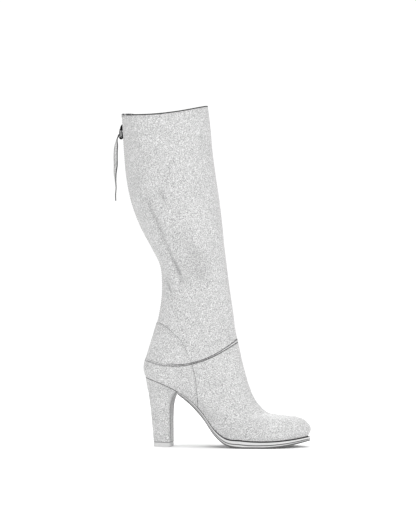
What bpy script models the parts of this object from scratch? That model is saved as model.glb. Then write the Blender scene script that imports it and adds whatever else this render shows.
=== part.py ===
"""Knee-high boot for the right foot, on a high block heel and a low platform sole, with a back zip.

The boot stands on z = 0 with its toe towards +X and its outer side towards -Y.
Sizes below are in millimetres and become metres where a mesh is made.
"""

import math
from collections import namedtuple

import bmesh
import bpy
import numpy as np
from mathutils import Matrix, Vector

MM = 0.001

# Driving sizes
GAP = 0.3  # space left between pieces that touch
WALL = 2.0  # leather and lining of the upper and the shaft
SEAM_SAG = 18.6  # how far the ankle seam dips between heel and instep
FOOT_BULGE = 3.4  # how far the upper swells past the feather edge
HEEL_BULGE = 2.9  # how far the heel cup swells behind the feather edge
HEEL_ROUND = 30.0  # length over which the insole rounds off at the heel
TOE_ROUND = 56.0  # length over which the insole rounds off at the toe
SHAFT_EGG = 0.07  # how much rounder the shaft is behind than in front
INSOLE_THICK = 2.2
INSOLE_INSET = WALL + 0.7
TOPLIFT_HEIGHT = 6.0
BREAST_X = -49.4  # where the heel's front face meets the waist of the sole

# Zip and pull
ZIP_FOOT_Z = 182.0  # lower end of the zip, above the heel counter
SLIDER_Z = 442.6
SLIDER_TALL, SLIDER_WIDE, SLIDER_PLATE, SLIDER_CLEAR = 8.0, 8.0, 0.8, 0.3
SLIDER_POST_WIDE, SLIDER_POST_TALL = 1.0, 2.4
SLOT_HALF = 3.0  # half the opening that the teeth close
SLOT_HALF_TOP = 5.4  # half the opening at the collar, above the slider
TEETH_HALF, TEETH_THICK, TEETH_SINK = 2.4, 2.0, 0.3
BAR_R, BAR_OUT, BAR_DOWN = 0.4, 2.0, 3.2  # cross bar that the pull hangs on, from the slider's outer plate
LUG_WIDE, LUG_APART, LUG_TALL = 1.2, 4.8, 2.2  # the two lugs that hold the bar
LUG_TIP = 0.3  # how far the lugs still stand out at the slider's top
RING_TOP_R, RING_END_R, RING_DROP = 1.15, 1.65, 13.4
RING_LEAN = 0.5  # how far the ring's lower end hangs towards the boot
RING_WIRE_R, RING_SIDE_R, RING_FOOT_R = 0.6, 1.0, 1.35  # the ring thickens downwards
THONG_WIDE, THONG_THICK = 6.2, 1.4

COLUMNS = 72  # points round the upper
FOOT_ROWS, SHAFT_ROWS = 16, 18
HEEL_SHARE = 0.4  # spacing of those points along the heel, as a share of their mean spacing
TOE_STRETCH_X = 105.0  # in front of this the sole's stations spread out to reach its longer toe

Station = namedtuple("Station", "name x z centre half")
Profile = namedtuple("Profile", "name x z")
Section = namedtuple("Section", "name back_x back_z front_x front_z half sag")
Layer = namedtuple("Layer", "name x midsole outsole ledge")
HeelRow = namedtuple("HeelRow", "name rise back_x breast_x half skew")
ThongRow = namedtuple("ThongRow", "name out down twist")

# Feather edge, where the upper meets the sole: side view, plan centre line and half width
FEATHER = [
    Station("heel_back", -95.6, 96.4, 0.0, 27.0),
    Station("heel_seat", -68.2, 86.6, 0.0, 28.0),
    Station("breast", BREAST_X, 77.0, 0.0, 27.0),
    Station("waist_back", -29.6, 63.0, -0.8, 25.5),
    Station("waist", -13.5, 45.5, -1.5, 26.5),
    Station("waist_front", 0.4, 26.0, -1.5, 29.5),
    Station("ball_back", 13.5, 15.0, -1.2, 33.0),
    Station("ball", 40.0, 10.4, -1.0, 38.5),
    Station("ball_front", 70.0, 9.0, 0.0, 39.5),
    Station("toe_base", 100.0, 10.6, 2.5, 37.5),
    Station("toe", 128.5, 14.2, 7.0, 33.0),
]
FRONT_LINE = [
    Profile("toe_feather", 128.5, 14.2),
    Profile("toe_bulge", 132.8, 24.2),
    Profile("toe_crown", 125.2, 36.4),
    Profile("toe_top", 113.0, 41.6),
    Profile("vamp_flat", 88.5, 44.1),
    Profile("vamp_break", 73.5, 47.2),
    Profile("instep_low", 59.2, 60.2),
    Profile("instep", 49.2, 78.9),
    Profile("instep_high", 40.9, 105.9),
    Profile("ankle_seam", 31.5, 146.7),
]
SHAFT = [
    Section("ankle_seam", -96.1, 121.5, 31.5, 146.7, 34.0, SEAM_SAG),
    Section("counter", -85.5, 155.8, 28.0, 164.1, 34.5, 9.0),
    Section("achilles", -78.0, 182.0, 25.2, 186.0, 35.5, 3.0),
    Section("ankle", -73.4, 225.1, 19.1, 227.9, 37.5, 0.0),
    Section("gather", -76.6, 252.8, 15.7, 255.6, 41.0, 0.0),
    Section("calf_rise", -87.7, 275.0, 12.9, 277.7, 45.0, 0.0),
    Section("calf_low", -102.6, 302.7, 10.1, 306.9, 49.0, 0.0),
    Section("calf_mid", -114.6, 333.2, 6.5, 337.4, 52.5, 0.0),
    Section("calf", -122.7, 369.9, 1.0, 374.8, 55.0, 1.0),
    Section("calf_high", -126.1, 403.9, -3.6, 409.4, 55.5, 2.5),
    Section("knee", -128.1, 435.7, -6.5, 442.7, 54.5, 4.5),
    Section("collar", -129.6, 460.4, -10.1, 471.8, 53.5, 6.5),
]
# Thickness of the two sole layers and how far they stand out past the feather edge
SOLE = [
    Layer("breast", BREAST_X, 1.6, 1.8, 0.4),
    Layer("waist_back", -30.0, 2.8, 3.2, 0.5),
    Layer("waist", -13.5, 3.0, 3.6, 0.6),
    Layer("waist_front", 0.4, 3.3, 3.7, 1.2),
    Layer("ball_back", 13.5, 4.0, 4.0, 2.2),
    Layer("ball", 40.0, 4.7, 5.1, 2.6),
    Layer("ball_front", 70.0, 4.1, 4.3, 2.6),
    Layer("toe_base", 100.0, 3.5, 3.8, 2.8),
    Layer("toe", 128.5, 2.6, 2.9, 3.0),
]
# Plan of the heel at each share of its height; skew turns its breast, forwards on the inner side
HEEL = [
    HeelRow("foot", 0.0, -85.3, -59.4, 15.5, 0.06),
    HeelRow("low", 0.25, -87.3, -59.6, 16.3, 0.06),
    HeelRow("middle", 0.55, -90.1, -59.7, 18.0, 0.06),
    HeelRow("neck", 0.80, -93.4, -58.0, 20.8, 0.05),
    HeelRow("cup", 0.93, -95.4, -54.2, 24.2, 0.02),
    HeelRow("seat", 1.0, -96.4, BREAST_X, 27.0, 0.0),
]
# Hanging pull strip: distance out from the cross bar, down from it, and turn about its own length
THONG = [
    ThongRow("tie", 2.9, 6.4, 88.0),
    ThongRow("bend", 3.7, 9.4, 88.0),
    ThongRow("shoulder", 5.0, 12.2, 80.0),
    ThongRow("turn", 5.8, 16.1, 64.0),
    ThongRow("upper", 6.2, 21.7, 40.0),
    ThongRow("broad", 6.9, 28.6, 28.0),
    ThongRow("middle", 7.1, 38.0, 24.0),
    ThongRow("lower", 7.0, 49.4, 30.0),
    ThongRow("narrow", 7.8, 60.0, 50.0),
    ThongRow("low", 7.4, 70.2, 70.0),
    ThongRow("tail", 6.6, 81.0, 83.0),
    ThongRow("curl", 7.3, 90.5, 81.0),
    ThongRow("tip", 7.0, 98.6, 86.0),
]


def column(rows, name):
    """One named column of a table as an array."""
    return np.array([getattr(row, name) for row in rows], float)


def curve_through(knots, values, at):
    """Smooth curve through (knot, value) pairs: a cubic between knots, with slopes from their neighbours."""
    knots, values, at = (np.asarray(v, float) for v in (knots, values, at))
    steps = np.diff(knots)
    slopes = np.diff(values) / steps
    inner = (slopes[:-1] * steps[1:] + slopes[1:] * steps[:-1]) / (steps[:-1] + steps[1:])
    tangents = np.concatenate([[slopes[0]], inner, [slopes[-1]]])
    i = np.clip(np.searchsorted(knots, at, side="right") - 1, 0, len(steps) - 1)
    t = (at - knots[i]) / steps[i]
    return (
        values[i] * (1 + 2 * t) * (1 - t) ** 2
        + tangents[i] * steps[i] * t * (1 - t) ** 2
        + values[i + 1] * t**2 * (3 - 2 * t)
        + tangents[i + 1] * steps[i] * t**2 * (t - 1)
    )


def table_at(rows, key, name, at):
    """A table's column, read smoothly at any value of its key column."""
    return curve_through(column(rows, key), column(rows, name), at)


def end_round(distance, length, power=2.0):
    """How much of its full width an outline has this far from its end, as a superellipse."""
    share = np.clip(1 - distance / length, 0, 1)
    return (1 - share**power) ** (1 / power)


def feather_z(x):
    return table_at(FEATHER, "x", "z", x)


def outline_half(x, ledge, heel_x, toe_x):
    """Half width of an insole or sole outline at x, standing out past the feather edge by ledge."""
    full = table_at(FEATHER, "x", "half", x) + ledge
    return full * end_round(x - heel_x, HEEL_ROUND) * end_round(toe_x - x, TOE_ROUND, 2.15)


def ring_angles(count, slot_angle=0.0):
    """Angles round a section from the back seam, by the outer side, to the back seam again."""
    return np.linspace(slot_angle, 2 * math.pi - slot_angle, count)


def section_point(row, angle):
    """Points of one shaft section: an egg-shaped ring between its back and front points."""
    share = (1 - np.cos(angle)) / 2
    x = row["back_x"] + (row["front_x"] - row["back_x"]) * share
    z = row["back_z"] + (row["front_z"] - row["back_z"]) * share - 4 * row["sag"] * share * (1 - share)
    y = -row["half"] * np.sin(angle) * (1 + SHAFT_EGG * np.cos(angle))
    return np.stack([x, y, z], -1)


def shaft_row(height):
    """All the columns of the shaft table at one height of the section's middle."""
    middle = (column(SHAFT, "back_z") + column(SHAFT, "front_z")) / 2
    return {name: curve_through(middle, column(SHAFT, name), height) for name in Section._fields[1:]}


def shaft_heights():
    middle = [(row.back_z + row.front_z) / 2 for row in SHAFT]
    return middle[0], middle[-1]


def front_profile(share):
    """Points of the front line, from the toe's feather edge to the ankle seam, by share of its length."""
    x, z = column(FRONT_LINE, "x"), column(FRONT_LINE, "z")
    knots = np.concatenate([[0], np.cumsum(np.hypot(np.diff(x), np.diff(z)))])
    at = np.asarray(share) * knots[-1]
    return np.stack([curve_through(knots, x, at), curve_through(knots, z, at)], -1)


def heel_profile(share):
    """Points of the heel's back line, from the feather edge to the ankle seam."""
    share = np.asarray(share)[..., None]
    start = np.array([FEATHER[0].x, FEATHER[0].z])
    end = np.array([SHAFT[0].back_x, SHAFT[0].back_z])
    swell = np.array([-HEEL_BULGE, 0.0])
    return start + (end - start) * share + swell * 4 * share * (1 - share)


def along_foot(angle):
    """Where along the feather edge a point of the upper starts: nearly below the ankle seam at the heel."""
    share = (1 - np.cos(angle)) / 2
    heel_x, toe_x = FEATHER[0].x, FEATHER[-1].x
    return heel_x + (toe_x - heel_x) * share * (HEEL_SHARE + (1 - HEEL_SHARE) * share)


def foot_surface(angle, rise):
    """Outer face of the foot of the upper: angle runs round it, rise from feather edge (0) to ankle seam (1).

    In side view it runs straight from feather edge to ankle seam, pulled at its ends onto the curved lines
    of the heel's back and the front.
    Its half width goes from the insole's to the ankle's, with a swell in between.
    """
    share = (1 - np.cos(angle)) / 2
    foot_x = along_foot(angle)
    bottom = np.stack([foot_x, feather_z(foot_x)], -1)
    seam = section_point(SHAFT[0]._asdict(), angle)
    top = seam[..., [0, 2]]
    s, t = share[..., None], np.asarray(rise)[..., None]
    straight_back = (1 - t) * heel_profile(0.0) + t * heel_profile(1.0)
    straight_front = (1 - t) * front_profile(0.0) + t * front_profile(1.0)
    side = (1 - t) * bottom + t * top
    side += (1 - s) ** 3 * (heel_profile(rise) - straight_back)
    side += s**3 * (front_profile(rise) - straight_front)
    half = outline_half(foot_x, 0.0, FEATHER[0].x, FEATHER[-1].x)
    swell = FOOT_BULGE * np.sin(math.pi * rise**0.55) * np.abs(np.sin(angle)) ** 0.7
    width = (1 - rise) * half + rise * np.abs(seam[..., 1]) + swell
    centre = (1 - rise) * table_at(FEATHER, "x", "centre", foot_x)
    return np.stack([side[..., 0], centre - np.sign(np.sin(angle)) * width, side[..., 1]], -1)


def material(name, colour, roughness, metallic=0.0):
    made = bpy.data.materials.new(name)
    made.use_nodes = True
    shader = made.node_tree.nodes["Principled BSDF"]
    shader.inputs["Base Color"].default_value = (*colour, 1.0)
    shader.inputs["Roughness"].default_value = roughness
    shader.inputs["Metallic"].default_value = metallic
    return made


def add_object(name, mesh, finish, collection, smooth_angle=35.0):
    """A named object from a mesh in metres, shaded smooth except at sharp edges."""
    mesh.shade_smooth()
    mesh.set_sharp_from_angle(angle=math.radians(smooth_angle))
    mesh.materials.append(finish)
    made = bpy.data.objects.new(name, mesh)
    collection.objects.link(made)
    return made


def mesh_from(name, points, faces):
    """A mesh in metres from points in millimetres, with coincident points merged."""
    mesh = bpy.data.meshes.new(name)
    mesh.from_pydata((np.asarray(points) * MM).tolist(), [], [list(face) for face in faces])
    work = bmesh.new()
    work.from_mesh(mesh)
    bmesh.ops.remove_doubles(work, verts=work.verts, dist=1e-6)
    bmesh.ops.dissolve_degenerate(work, edges=work.edges, dist=1e-7)
    work.to_mesh(mesh)
    work.free()
    return mesh


def grid_faces(rows, columns):
    """Quads of a grid of points, row by row."""
    corner = np.arange(rows * columns).reshape(rows, columns)
    quads = np.stack([corner[:-1, :-1], corner[:-1, 1:], corner[1:, 1:], corner[1:, :-1]], -1)
    return quads.reshape(-1, 4).tolist()


def shell(name, grid, finish, collection):
    """A leather wall: an open surface through a grid of rings, thickened inwards."""
    rows, columns, _ = grid.shape
    mesh = mesh_from(name, grid.reshape(-1, 3), grid_faces(rows, columns))
    made = add_object(name, mesh, finish, collection)
    wall = made.modifiers.new("Wall", "SOLIDIFY")
    wall.thickness = WALL * MM
    wall.offset = -1.0
    wall.use_even_offset = True
    return made


def loft(name, rings, finish, collection):
    """A closed solid through rings of equal point counts, whose ends are filled with strips across.

    Each ring runs up one side and back down the other, so point i faces point -1 - i.
    """
    rings = np.asarray(rings, float)
    count, around, _ = rings.shape
    index = np.arange(count * around).reshape(count, around)
    closed = np.concatenate([index, index[:, :1]], 1)
    quads = np.stack([closed[:-1, :-1], closed[:-1, 1:], closed[1:, 1:], closed[1:, :-1]], -1)
    faces = quads.reshape(-1, 4).tolist()
    for i in range(around // 2 - 1):
        near, far = i, around - 1 - i
        faces.append([index[0, near], index[0, far], index[0, far - 1], index[0, near + 1]])
        faces.append([index[-1, near], index[-1, near + 1], index[-1, far - 1], index[-1, far]])
    mesh = mesh_from(name, rings.reshape(-1, 3), faces)
    work = bmesh.new()
    work.from_mesh(mesh)
    bmesh.ops.recalc_face_normals(work, faces=work.faces)
    work.to_mesh(mesh)
    work.free()
    return add_object(name, mesh, finish, collection)


def slab(name, x, half, centre, low, high, finish, collection):
    """A sole layer: an outline given by half widths along x, between a low and a high surface."""
    def ring(z):
        side = np.stack([x, centre - half, z], -1)
        other = np.stack([x, centre + half, z], -1)
        return np.concatenate([side, other[::-1]])

    return loft(name, [ring(low), ring(high)], finish, collection)


def stations(start, end):
    """Places along the sole, at the same x as the upper's points but for the toe, which reaches to end."""
    x = along_foot(np.linspace(0, math.pi, COLUMNS // 2 + 1))
    reach = (end - TOE_STRETCH_X) / (FEATHER[-1].x - TOE_STRETCH_X)
    x = np.where(x > TOE_STRETCH_X, TOE_STRETCH_X + (x - TOE_STRETCH_X) * reach, x)
    return np.concatenate([[start], x[x > start + 0.5]])


def build_upper(finish, collection):
    angle, rise = np.meshgrid(ring_angles(COLUMNS + 1), np.linspace(0, 1, FOOT_ROWS) ** 1.35)
    grid = foot_surface(angle, rise)
    grid[-1, :, 2] -= GAP
    return shell("upper", grid, finish, collection)


def slot_half(height):
    """Half the width of the back opening at a height: closed below the zip, wider above the slider."""
    heights = [ZIP_FOOT_Z, ZIP_FOOT_Z + 4, SLIDER_Z - SLIDER_TALL / 2, SHAFT[-1].back_z]
    return np.interp(height, heights, [0.0, SLOT_HALF, SLOT_HALF, SLOT_HALF_TOP])


def build_shaft(finish, collection):
    low, high = shaft_heights()
    heights = np.linspace(low, high, SHAFT_ROWS)
    for wanted in (ZIP_FOOT_Z, ZIP_FOOT_Z + 4):
        heights[np.argmin(np.abs(heights - wanted))] = wanted
    rings = []
    for height in heights:
        row = shaft_row(height)
        slot_angle = math.asin(slot_half(height) / row["half"] / (1 + SHAFT_EGG))
        rings.append(section_point(row, ring_angles(COLUMNS + 1, slot_angle)))
    return shell("shaft", np.array(rings), finish, collection)


def build_insole(finish, collection):
    heel_x, toe_x = FEATHER[0].x + INSOLE_INSET, FEATHER[-1].x - INSOLE_INSET
    x = stations(heel_x, toe_x)
    half = np.maximum(outline_half(x, -INSOLE_INSET, heel_x, toe_x), 0)
    low = feather_z(x) + GAP
    centre = table_at(FEATHER, "x", "centre", x)
    return slab("insole", x, half, centre, low, low + INSOLE_THICK, finish, collection)


def sole_outline():
    """Plan of the sole layers from the heel's breast to the toe."""
    toe_x = FEATHER[-1].x + SOLE[-1].ledge
    x = stations(BREAST_X + GAP, toe_x)
    in_table = np.clip(x, BREAST_X, SOLE[-1].x)
    ledge = table_at(SOLE, "x", "ledge", in_table)
    full = table_at(FEATHER, "x", "half", in_table) + ledge
    half = full * end_round(toe_x - x, TOE_ROUND + SOLE[-1].ledge, 2.15)
    return x, in_table, half, table_at(FEATHER, "x", "centre", in_table)


def build_soles(midsole_finish, outsole_finish, collection):
    x, in_table, half, centre = sole_outline()
    top = feather_z(in_table) - GAP
    joint = top - table_at(SOLE, "x", "midsole", in_table)
    floor = np.maximum(joint - GAP - table_at(SOLE, "x", "outsole", in_table), 0.0)
    slab("midsole", x, half, centre, joint, top, midsole_finish, collection)
    slab("outsole", x, half, centre, floor, joint - GAP, outsole_finish, collection)


def heel_ring(back_x, breast_x, half, skew, count=14, corner=0.16):
    """Plan of the heel: round behind, flat across its breast, with small round corners."""
    share = (1 - np.cos(np.linspace(0, math.pi, count))) / 2
    width = end_round(share, 0.62) * end_round(1.0 - share + 0.45 * corner, corner)
    x = back_x + (breast_x - back_x) * share
    side = np.stack([x, -half * width], -1)
    other = np.stack([x, half * width], -1)
    plan = np.concatenate([side, other[::-1]])
    plan[:, 0] += skew * plan[:, 1]
    return plan


def build_heel(heel_finish, toplift_finish, collection):
    seat = heel_ring(HEEL[-1].back_x, HEEL[-1].breast_x, HEEL[-1].half, HEEL[-1].skew)
    seat_z = feather_z(np.maximum(seat[:, 0], FEATHER[0].x)) - GAP
    rings = []
    for rise in np.linspace(0, 1, 11):
        row = [float(table_at(HEEL, "rise", name, rise)) for name in ("back_x", "breast_x", "half", "skew")]
        plan = heel_ring(*row)
        z = TOPLIFT_HEIGHT + GAP + (seat_z - TOPLIFT_HEIGHT - GAP) * rise
        rings.append(np.column_stack([plan, z]))
    loft("heel", rings, heel_finish, collection)
    foot = heel_ring(HEEL[0].back_x + 0.2, HEEL[0].breast_x - 0.2, HEEL[0].half - 0.2, HEEL[0].skew)
    lift = [np.column_stack([foot, np.full(len(foot), z)]) for z in (0.0, TOPLIFT_HEIGHT)]
    loft("toplift", lift, toplift_finish, collection)


def back_line(height, depth=0.0):
    """Point on the shaft's back line at a height, moved outwards by depth."""
    low, high = shaft_heights()
    heights = np.linspace(low, high, 200)
    x = np.array([float(shaft_row(h)["back_x"]) for h in heights])
    z = np.array([float(shaft_row(h)["back_z"]) for h in heights])
    here = np.interp(height, z, x)
    slope = np.interp(height, z, np.gradient(x, z))
    normal = np.stack([-np.ones_like(slope), np.zeros_like(slope), slope], -1)
    normal /= np.linalg.norm(normal, axis=-1, keepdims=True)
    line = np.stack([here, np.zeros_like(here), np.asarray(height, float)], -1)
    return line + normal * depth


def strip_rings(heights, inner_y, outer_y):
    """Rectangular sections of a row of zip teeth between two distances from the middle."""
    rings = []
    for height, low, high in zip(heights, inner_y, outer_y):
        outside = back_line(height, -TEETH_SINK)
        inside = back_line(height, -TEETH_SINK - TEETH_THICK)
        across = np.array([[0, low, 0], [0, high, 0]])
        rings.append(np.concatenate([outside + across, (inside + across)[::-1]]))
    return rings


def build_zip(finish, collection):
    mouth = SLIDER_Z - SLIDER_TALL / 2 + 2.0
    heights = np.linspace(ZIP_FOOT_Z + 5.0, mouth, 20)
    flat = np.full(len(heights), TEETH_HALF)
    loft("zip_teeth", strip_rings(heights, -flat, flat), finish, collection)
    heights = np.linspace(mouth + GAP, SHAFT[-1].back_z - 1.0, 6)
    edge = slot_half(heights) - 2 * GAP
    width = TEETH_HALF - GAP
    loft("zip_row_outer", strip_rings(heights, -edge, width - edge), finish, collection)
    loft("zip_row_inner", strip_rings(heights, edge - width, edge), finish, collection)


def add_empty(name, place, collection, parent=None):
    """A marker that pieces are placed from; place is a frame in its parent's space, in metres."""
    made = bpy.data.objects.new(name, None)
    made.empty_display_size = 0.005
    collection.objects.link(made)
    made.parent = parent
    made.matrix_local = place
    return made


def into_collection(made, collection):
    for owner in list(made.users_collection):
        owner.objects.unlink(made)
    collection.objects.link(made)


def cuboid(name, size, centre, parent, collection):
    """A box in millimetres, placed from its parent."""
    bpy.ops.mesh.primitive_cube_add(size=1)
    made = bpy.context.object
    made.name = name
    made.data.transform(Matrix.Diagonal((*[v * MM for v in size], 1.0)))
    made.parent = parent
    made.location = Vector(centre) * MM
    into_collection(made, collection)
    return made


def join(target, other, operation):
    """Adds a piece to another or cuts it away; the piece itself is then only a tool."""
    change = target.modifiers.new(other.name, "BOOLEAN")
    change.operation = operation
    change.object = other
    other.hide_render = True
    other.display_type = "WIRE"


def slider_frame():
    """Frame on the back line at the slider: +X outwards from the boot, +Z up along the zip."""
    up = Vector(back_line(SLIDER_Z + 5.0) - back_line(SLIDER_Z - 5.0)).normalized()
    across = Vector((0.0, -1.0, 0.0))
    out = across.cross(up).normalized()
    frame = Matrix((out, across, up)).transposed().to_4x4()
    frame.translation = Vector(back_line(SLIDER_Z)) * MM
    return frame


def bar_place():
    """Middle of the slider's cross bar in the slider's frame: the axis that the pull swings about."""
    return Vector((SLIDER_CLEAR + SLIDER_PLATE + BAR_OUT, 0.0, -BAR_DOWN)) * MM


def lug_rings(aside, root):
    """Both faces of a lug: square round the bar's end, then sloping in to the slider's top."""
    low, level, high = -BAR_DOWN - LUG_TALL / 2, -BAR_DOWN + LUG_TALL / 2, SLIDER_TALL / 2 - 0.5
    plate_face = SLIDER_CLEAR + SLIDER_PLATE
    tip, end = plate_face + LUG_TIP, plate_face + BAR_OUT + 2 * BAR_R
    outline = np.array([(root, low), (root, level), (root, high), (tip, high), (end, level), (end, low)])
    faces = [np.insert(outline, 1, aside + half, axis=1) for half in (-LUG_WIDE / 2, LUG_WIDE / 2)]
    return np.stack(faces)


def build_slider(seat, finish, collection, cutters):
    """Two plates, outside and inside the teeth, joined by a post, with two lugs and a bar for the pull."""
    plate_mid = SLIDER_CLEAR + SLIDER_PLATE / 2
    inner_mid = -TEETH_SINK - TEETH_THICK - SLIDER_CLEAR - SLIDER_PLATE / 2
    plate_size = (SLIDER_PLATE, SLIDER_WIDE, SLIDER_TALL)
    slider = cuboid("zip_slider", plate_size, (plate_mid, 0, 0), seat, collection)
    slider.data.materials.append(finish)
    inner_size = (SLIDER_PLATE, SLIDER_WIDE - 2, SLIDER_TALL - 2)
    inner = cuboid("slider_inner_plate", inner_size, (inner_mid, 0, 0), seat, cutters)
    post_size = (plate_mid - inner_mid, SLIDER_POST_WIDE, SLIDER_POST_TALL)
    post_up = SLIDER_TALL / 2 - 1 - SLIDER_POST_TALL / 2
    post = cuboid("slider_post", post_size, ((plate_mid + inner_mid) / 2, 0, post_up), seat, cutters)
    lugs = []
    for side, way in (("outer", 1), ("inner", -1)):
        lug = loft(f"slider_lug_{side}", lug_rings(way * LUG_APART / 2, plate_mid), finish, cutters)
        lug.parent = seat
        lugs.append(lug)
    bpy.ops.mesh.primitive_cylinder_add(vertices=16, radius=BAR_R * MM, depth=LUG_APART * MM)
    bar = bpy.context.object
    bar.name = "slider_bar"
    bar.parent = seat
    bar.location = bar_place()
    bar.rotation_euler = (math.pi / 2, 0, 0)
    into_collection(bar, cutters)
    for piece in (inner, post, *lugs, bar):
        join(slider, piece, "UNION")
    return slider


def build_ring(hinge, finish, collection):
    """Drop-shaped wire ring round the slider's bar, standing square to the back of the boot."""
    turn = np.linspace(0, math.pi, 9)
    level = np.zeros(len(turn))
    end_z = RING_FOOT_R + RING_END_R - RING_DROP
    upper = np.stack([RING_TOP_R * np.cos(turn), level, RING_TOP_R * np.sin(turn)], -1)
    lower = np.stack([RING_LEAN - RING_END_R * np.cos(turn), level, end_z - RING_END_R * np.sin(turn)], -1)
    path = np.concatenate([upper, lower]) * MM
    foot_wire = RING_SIDE_R + (RING_FOOT_R - RING_SIDE_R) * np.sin(turn)
    wire = np.concatenate([np.full(len(turn), RING_WIRE_R), foot_wire])
    curve = bpy.data.curves.new("pull_ring", "CURVE")
    curve.dimensions = "3D"
    curve.bevel_depth = RING_WIRE_R * MM
    curve.bevel_resolution = 2
    spline = curve.splines.new("POLY")
    spline.points.add(len(path) - 1)
    for point, place, thickness in zip(spline.points, path, wire):
        point.co = (*place, 1.0)
        point.radius = thickness / RING_WIRE_R
    spline.use_cyclic_u = True
    curve.materials.append(finish)
    ring = bpy.data.objects.new("pull_ring", curve)
    ring.parent = hinge
    collection.objects.link(ring)
    return ring


def build_thong(hinge, finish, collection):
    """Flat leather strip that hangs from the ring and turns about its own length."""
    down = column(THONG, "down")
    at = np.linspace(down[0], down[-1], 32)
    out, twist = (curve_through(down, column(THONG, name), at) for name in ("out", "twist"))
    centre = np.stack([-out, np.zeros(len(at)), -at], -1)
    along = np.gradient(centre, axis=0)
    along /= np.linalg.norm(along, axis=1, keepdims=True)
    across = np.array([0.0, 1.0, 0.0])
    turn = np.radians(twist)[:, None]
    wide = np.cross(across, along) * np.cos(turn) + across * np.sin(turn)
    thick = np.cross(along, wide) * THONG_THICK / 2
    wide = wide * THONG_WIDE / 2
    corners = [centre - wide - thick, centre + wide - thick, centre + wide + thick, centre - wide + thick]
    thong = loft("pull_thong", np.stack(corners, 1), finish, collection)
    thong.parent = hinge
    return thong


def new_collection(name):
    made = bpy.data.collections.new(name)
    bpy.context.scene.collection.children.link(made)
    return made


def main():
    for old in list(bpy.data.objects):
        bpy.data.objects.remove(old)
    boot = new_collection("heeled_boot")
    cutters = new_collection("cutters")
    leather = material("pale_grey_leather", (0.66, 0.66, 0.66), 0.6)
    edge = material("pale_sole_edge", (0.75, 0.75, 0.75), 0.5)
    tread = material("sole_rubber", (0.45, 0.45, 0.45), 0.7)
    board = material("insole_leather", (0.6, 0.6, 0.6), 0.7)
    metal = material("dark_zip_metal", (0.08, 0.08, 0.08), 0.35, 1.0)
    build_upper(leather, boot)
    build_shaft(leather, boot)
    build_insole(board, boot)
    build_soles(edge, tread, boot)
    build_heel(leather, tread, boot)
    build_zip(metal, boot)
    seat = add_empty("slider_seat", slider_frame(), boot)
    pull_hinge = add_empty("pull_hinge", Matrix.Translation(slider_frame() @ bar_place()), boot)
    build_slider(seat, metal, boot, cutters)
    build_ring(pull_hinge, metal, boot)
    build_thong(pull_hinge, leather, boot)


main()
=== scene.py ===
"""Looks of a knee-high heeled boot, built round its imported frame.

Shapes are worked out in millimetres in the frame's own axes, with the toe towards +X, the outer side
towards -Y and the floor at z = 0. They become metres where a mesh is made.
"""

import math
from collections import namedtuple

import bmesh
import bpy
import numpy as np
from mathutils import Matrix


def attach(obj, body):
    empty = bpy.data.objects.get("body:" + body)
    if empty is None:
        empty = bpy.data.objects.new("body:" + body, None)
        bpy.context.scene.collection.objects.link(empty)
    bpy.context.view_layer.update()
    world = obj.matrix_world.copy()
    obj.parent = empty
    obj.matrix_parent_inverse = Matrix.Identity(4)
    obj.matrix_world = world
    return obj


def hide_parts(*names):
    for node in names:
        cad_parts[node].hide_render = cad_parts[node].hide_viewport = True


bl_info = {
    "name": "Heeled Boot",
    "version": (1, 0, 0),
    "blender": (4, 5, 0),
    "location": "View3D > Sidebar > Boot",
    "description": "Builds the looks of a knee-high heeled boot around its packed frame",
    "category": "Add Mesh",
}

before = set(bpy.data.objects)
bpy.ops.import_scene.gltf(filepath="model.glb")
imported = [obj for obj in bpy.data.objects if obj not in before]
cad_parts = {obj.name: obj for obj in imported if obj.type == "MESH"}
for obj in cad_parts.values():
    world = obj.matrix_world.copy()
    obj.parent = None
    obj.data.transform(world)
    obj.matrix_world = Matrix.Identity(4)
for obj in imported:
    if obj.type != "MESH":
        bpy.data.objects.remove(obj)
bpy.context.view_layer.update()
MM = 0.001
BOOT, PULL = "boot", "pull_ring"  # the frame's two bodies

# Sizes of the boot, as in the frame
GAP = 0.3
WALL = 2.0
FOOT_BULGE = 3.4
HEEL_BULGE = 2.9
HEEL_ROUND = 30.0
TOE_ROUND, TOE_POWER = 56.0, 2.15
SHAFT_EGG = 0.07
HEEL_SHARE = 0.4
TOE_STRETCH_X = 105.0
TOPLIFT_HEIGHT = 6.0
BREAST_X = -49.4
ZIP_FOOT_Z = 182.0
SLIDER_Z, SLIDER_TALL, SLIDER_WIDE, SLIDER_PLATE, SLIDER_CLEAR = 442.6, 8.0, 8.0, 0.8, 0.3
SLIDER_POST_WIDE, SLIDER_POST_TALL = 1.0, 2.4
SLOT_HALF, SLOT_HALF_TOP = 3.0, 5.4
TEETH_THICK, TEETH_SINK = 2.0, 0.3
BAR_R, BAR_OUT, BAR_DOWN = 0.4, 2.0, 3.2
LUG_WIDE, LUG_APART, LUG_TALL, LUG_TIP = 1.2, 4.8, 2.2, 0.3
RING_TOP_R, RING_END_R, RING_DROP, RING_LEAN = 1.15, 1.65, 13.4, 0.5
RING_WIRE_R, RING_SIDE_R, RING_FOOT_R = 0.68, 1.2, 1.5  # drawn bolder than the frame's, to read at this size
STRIP_WIDE, STRIP_THICK = 6.2, 1.4

Station = namedtuple("Station", "name x z centre half")
Profile = namedtuple("Profile", "name x z")
Section = namedtuple("Section", "name back_x back_z front_x front_z half sag")
Layer = namedtuple("Layer", "name x midsole outsole ledge")
HeelRow = namedtuple("HeelRow", "name rise back_x breast_x half skew")
StripRow = namedtuple("StripRow", "name out down twist")
SeamRow = namedtuple("SeamRow", "name at angle")
TabRow = namedtuple("TabRow", "name hem up out")
DyeAndShadeEdge = namedtuple("DyeAndShadeEdge", "full gone tone")
PipingRow = namedtuple("PipingRow", "name angle half tone")
Crease = namedtuple("Crease", "name side depth width points")
ShadePatch = namedtuple("ShadePatch", "name side height angle reach tone")

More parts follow.
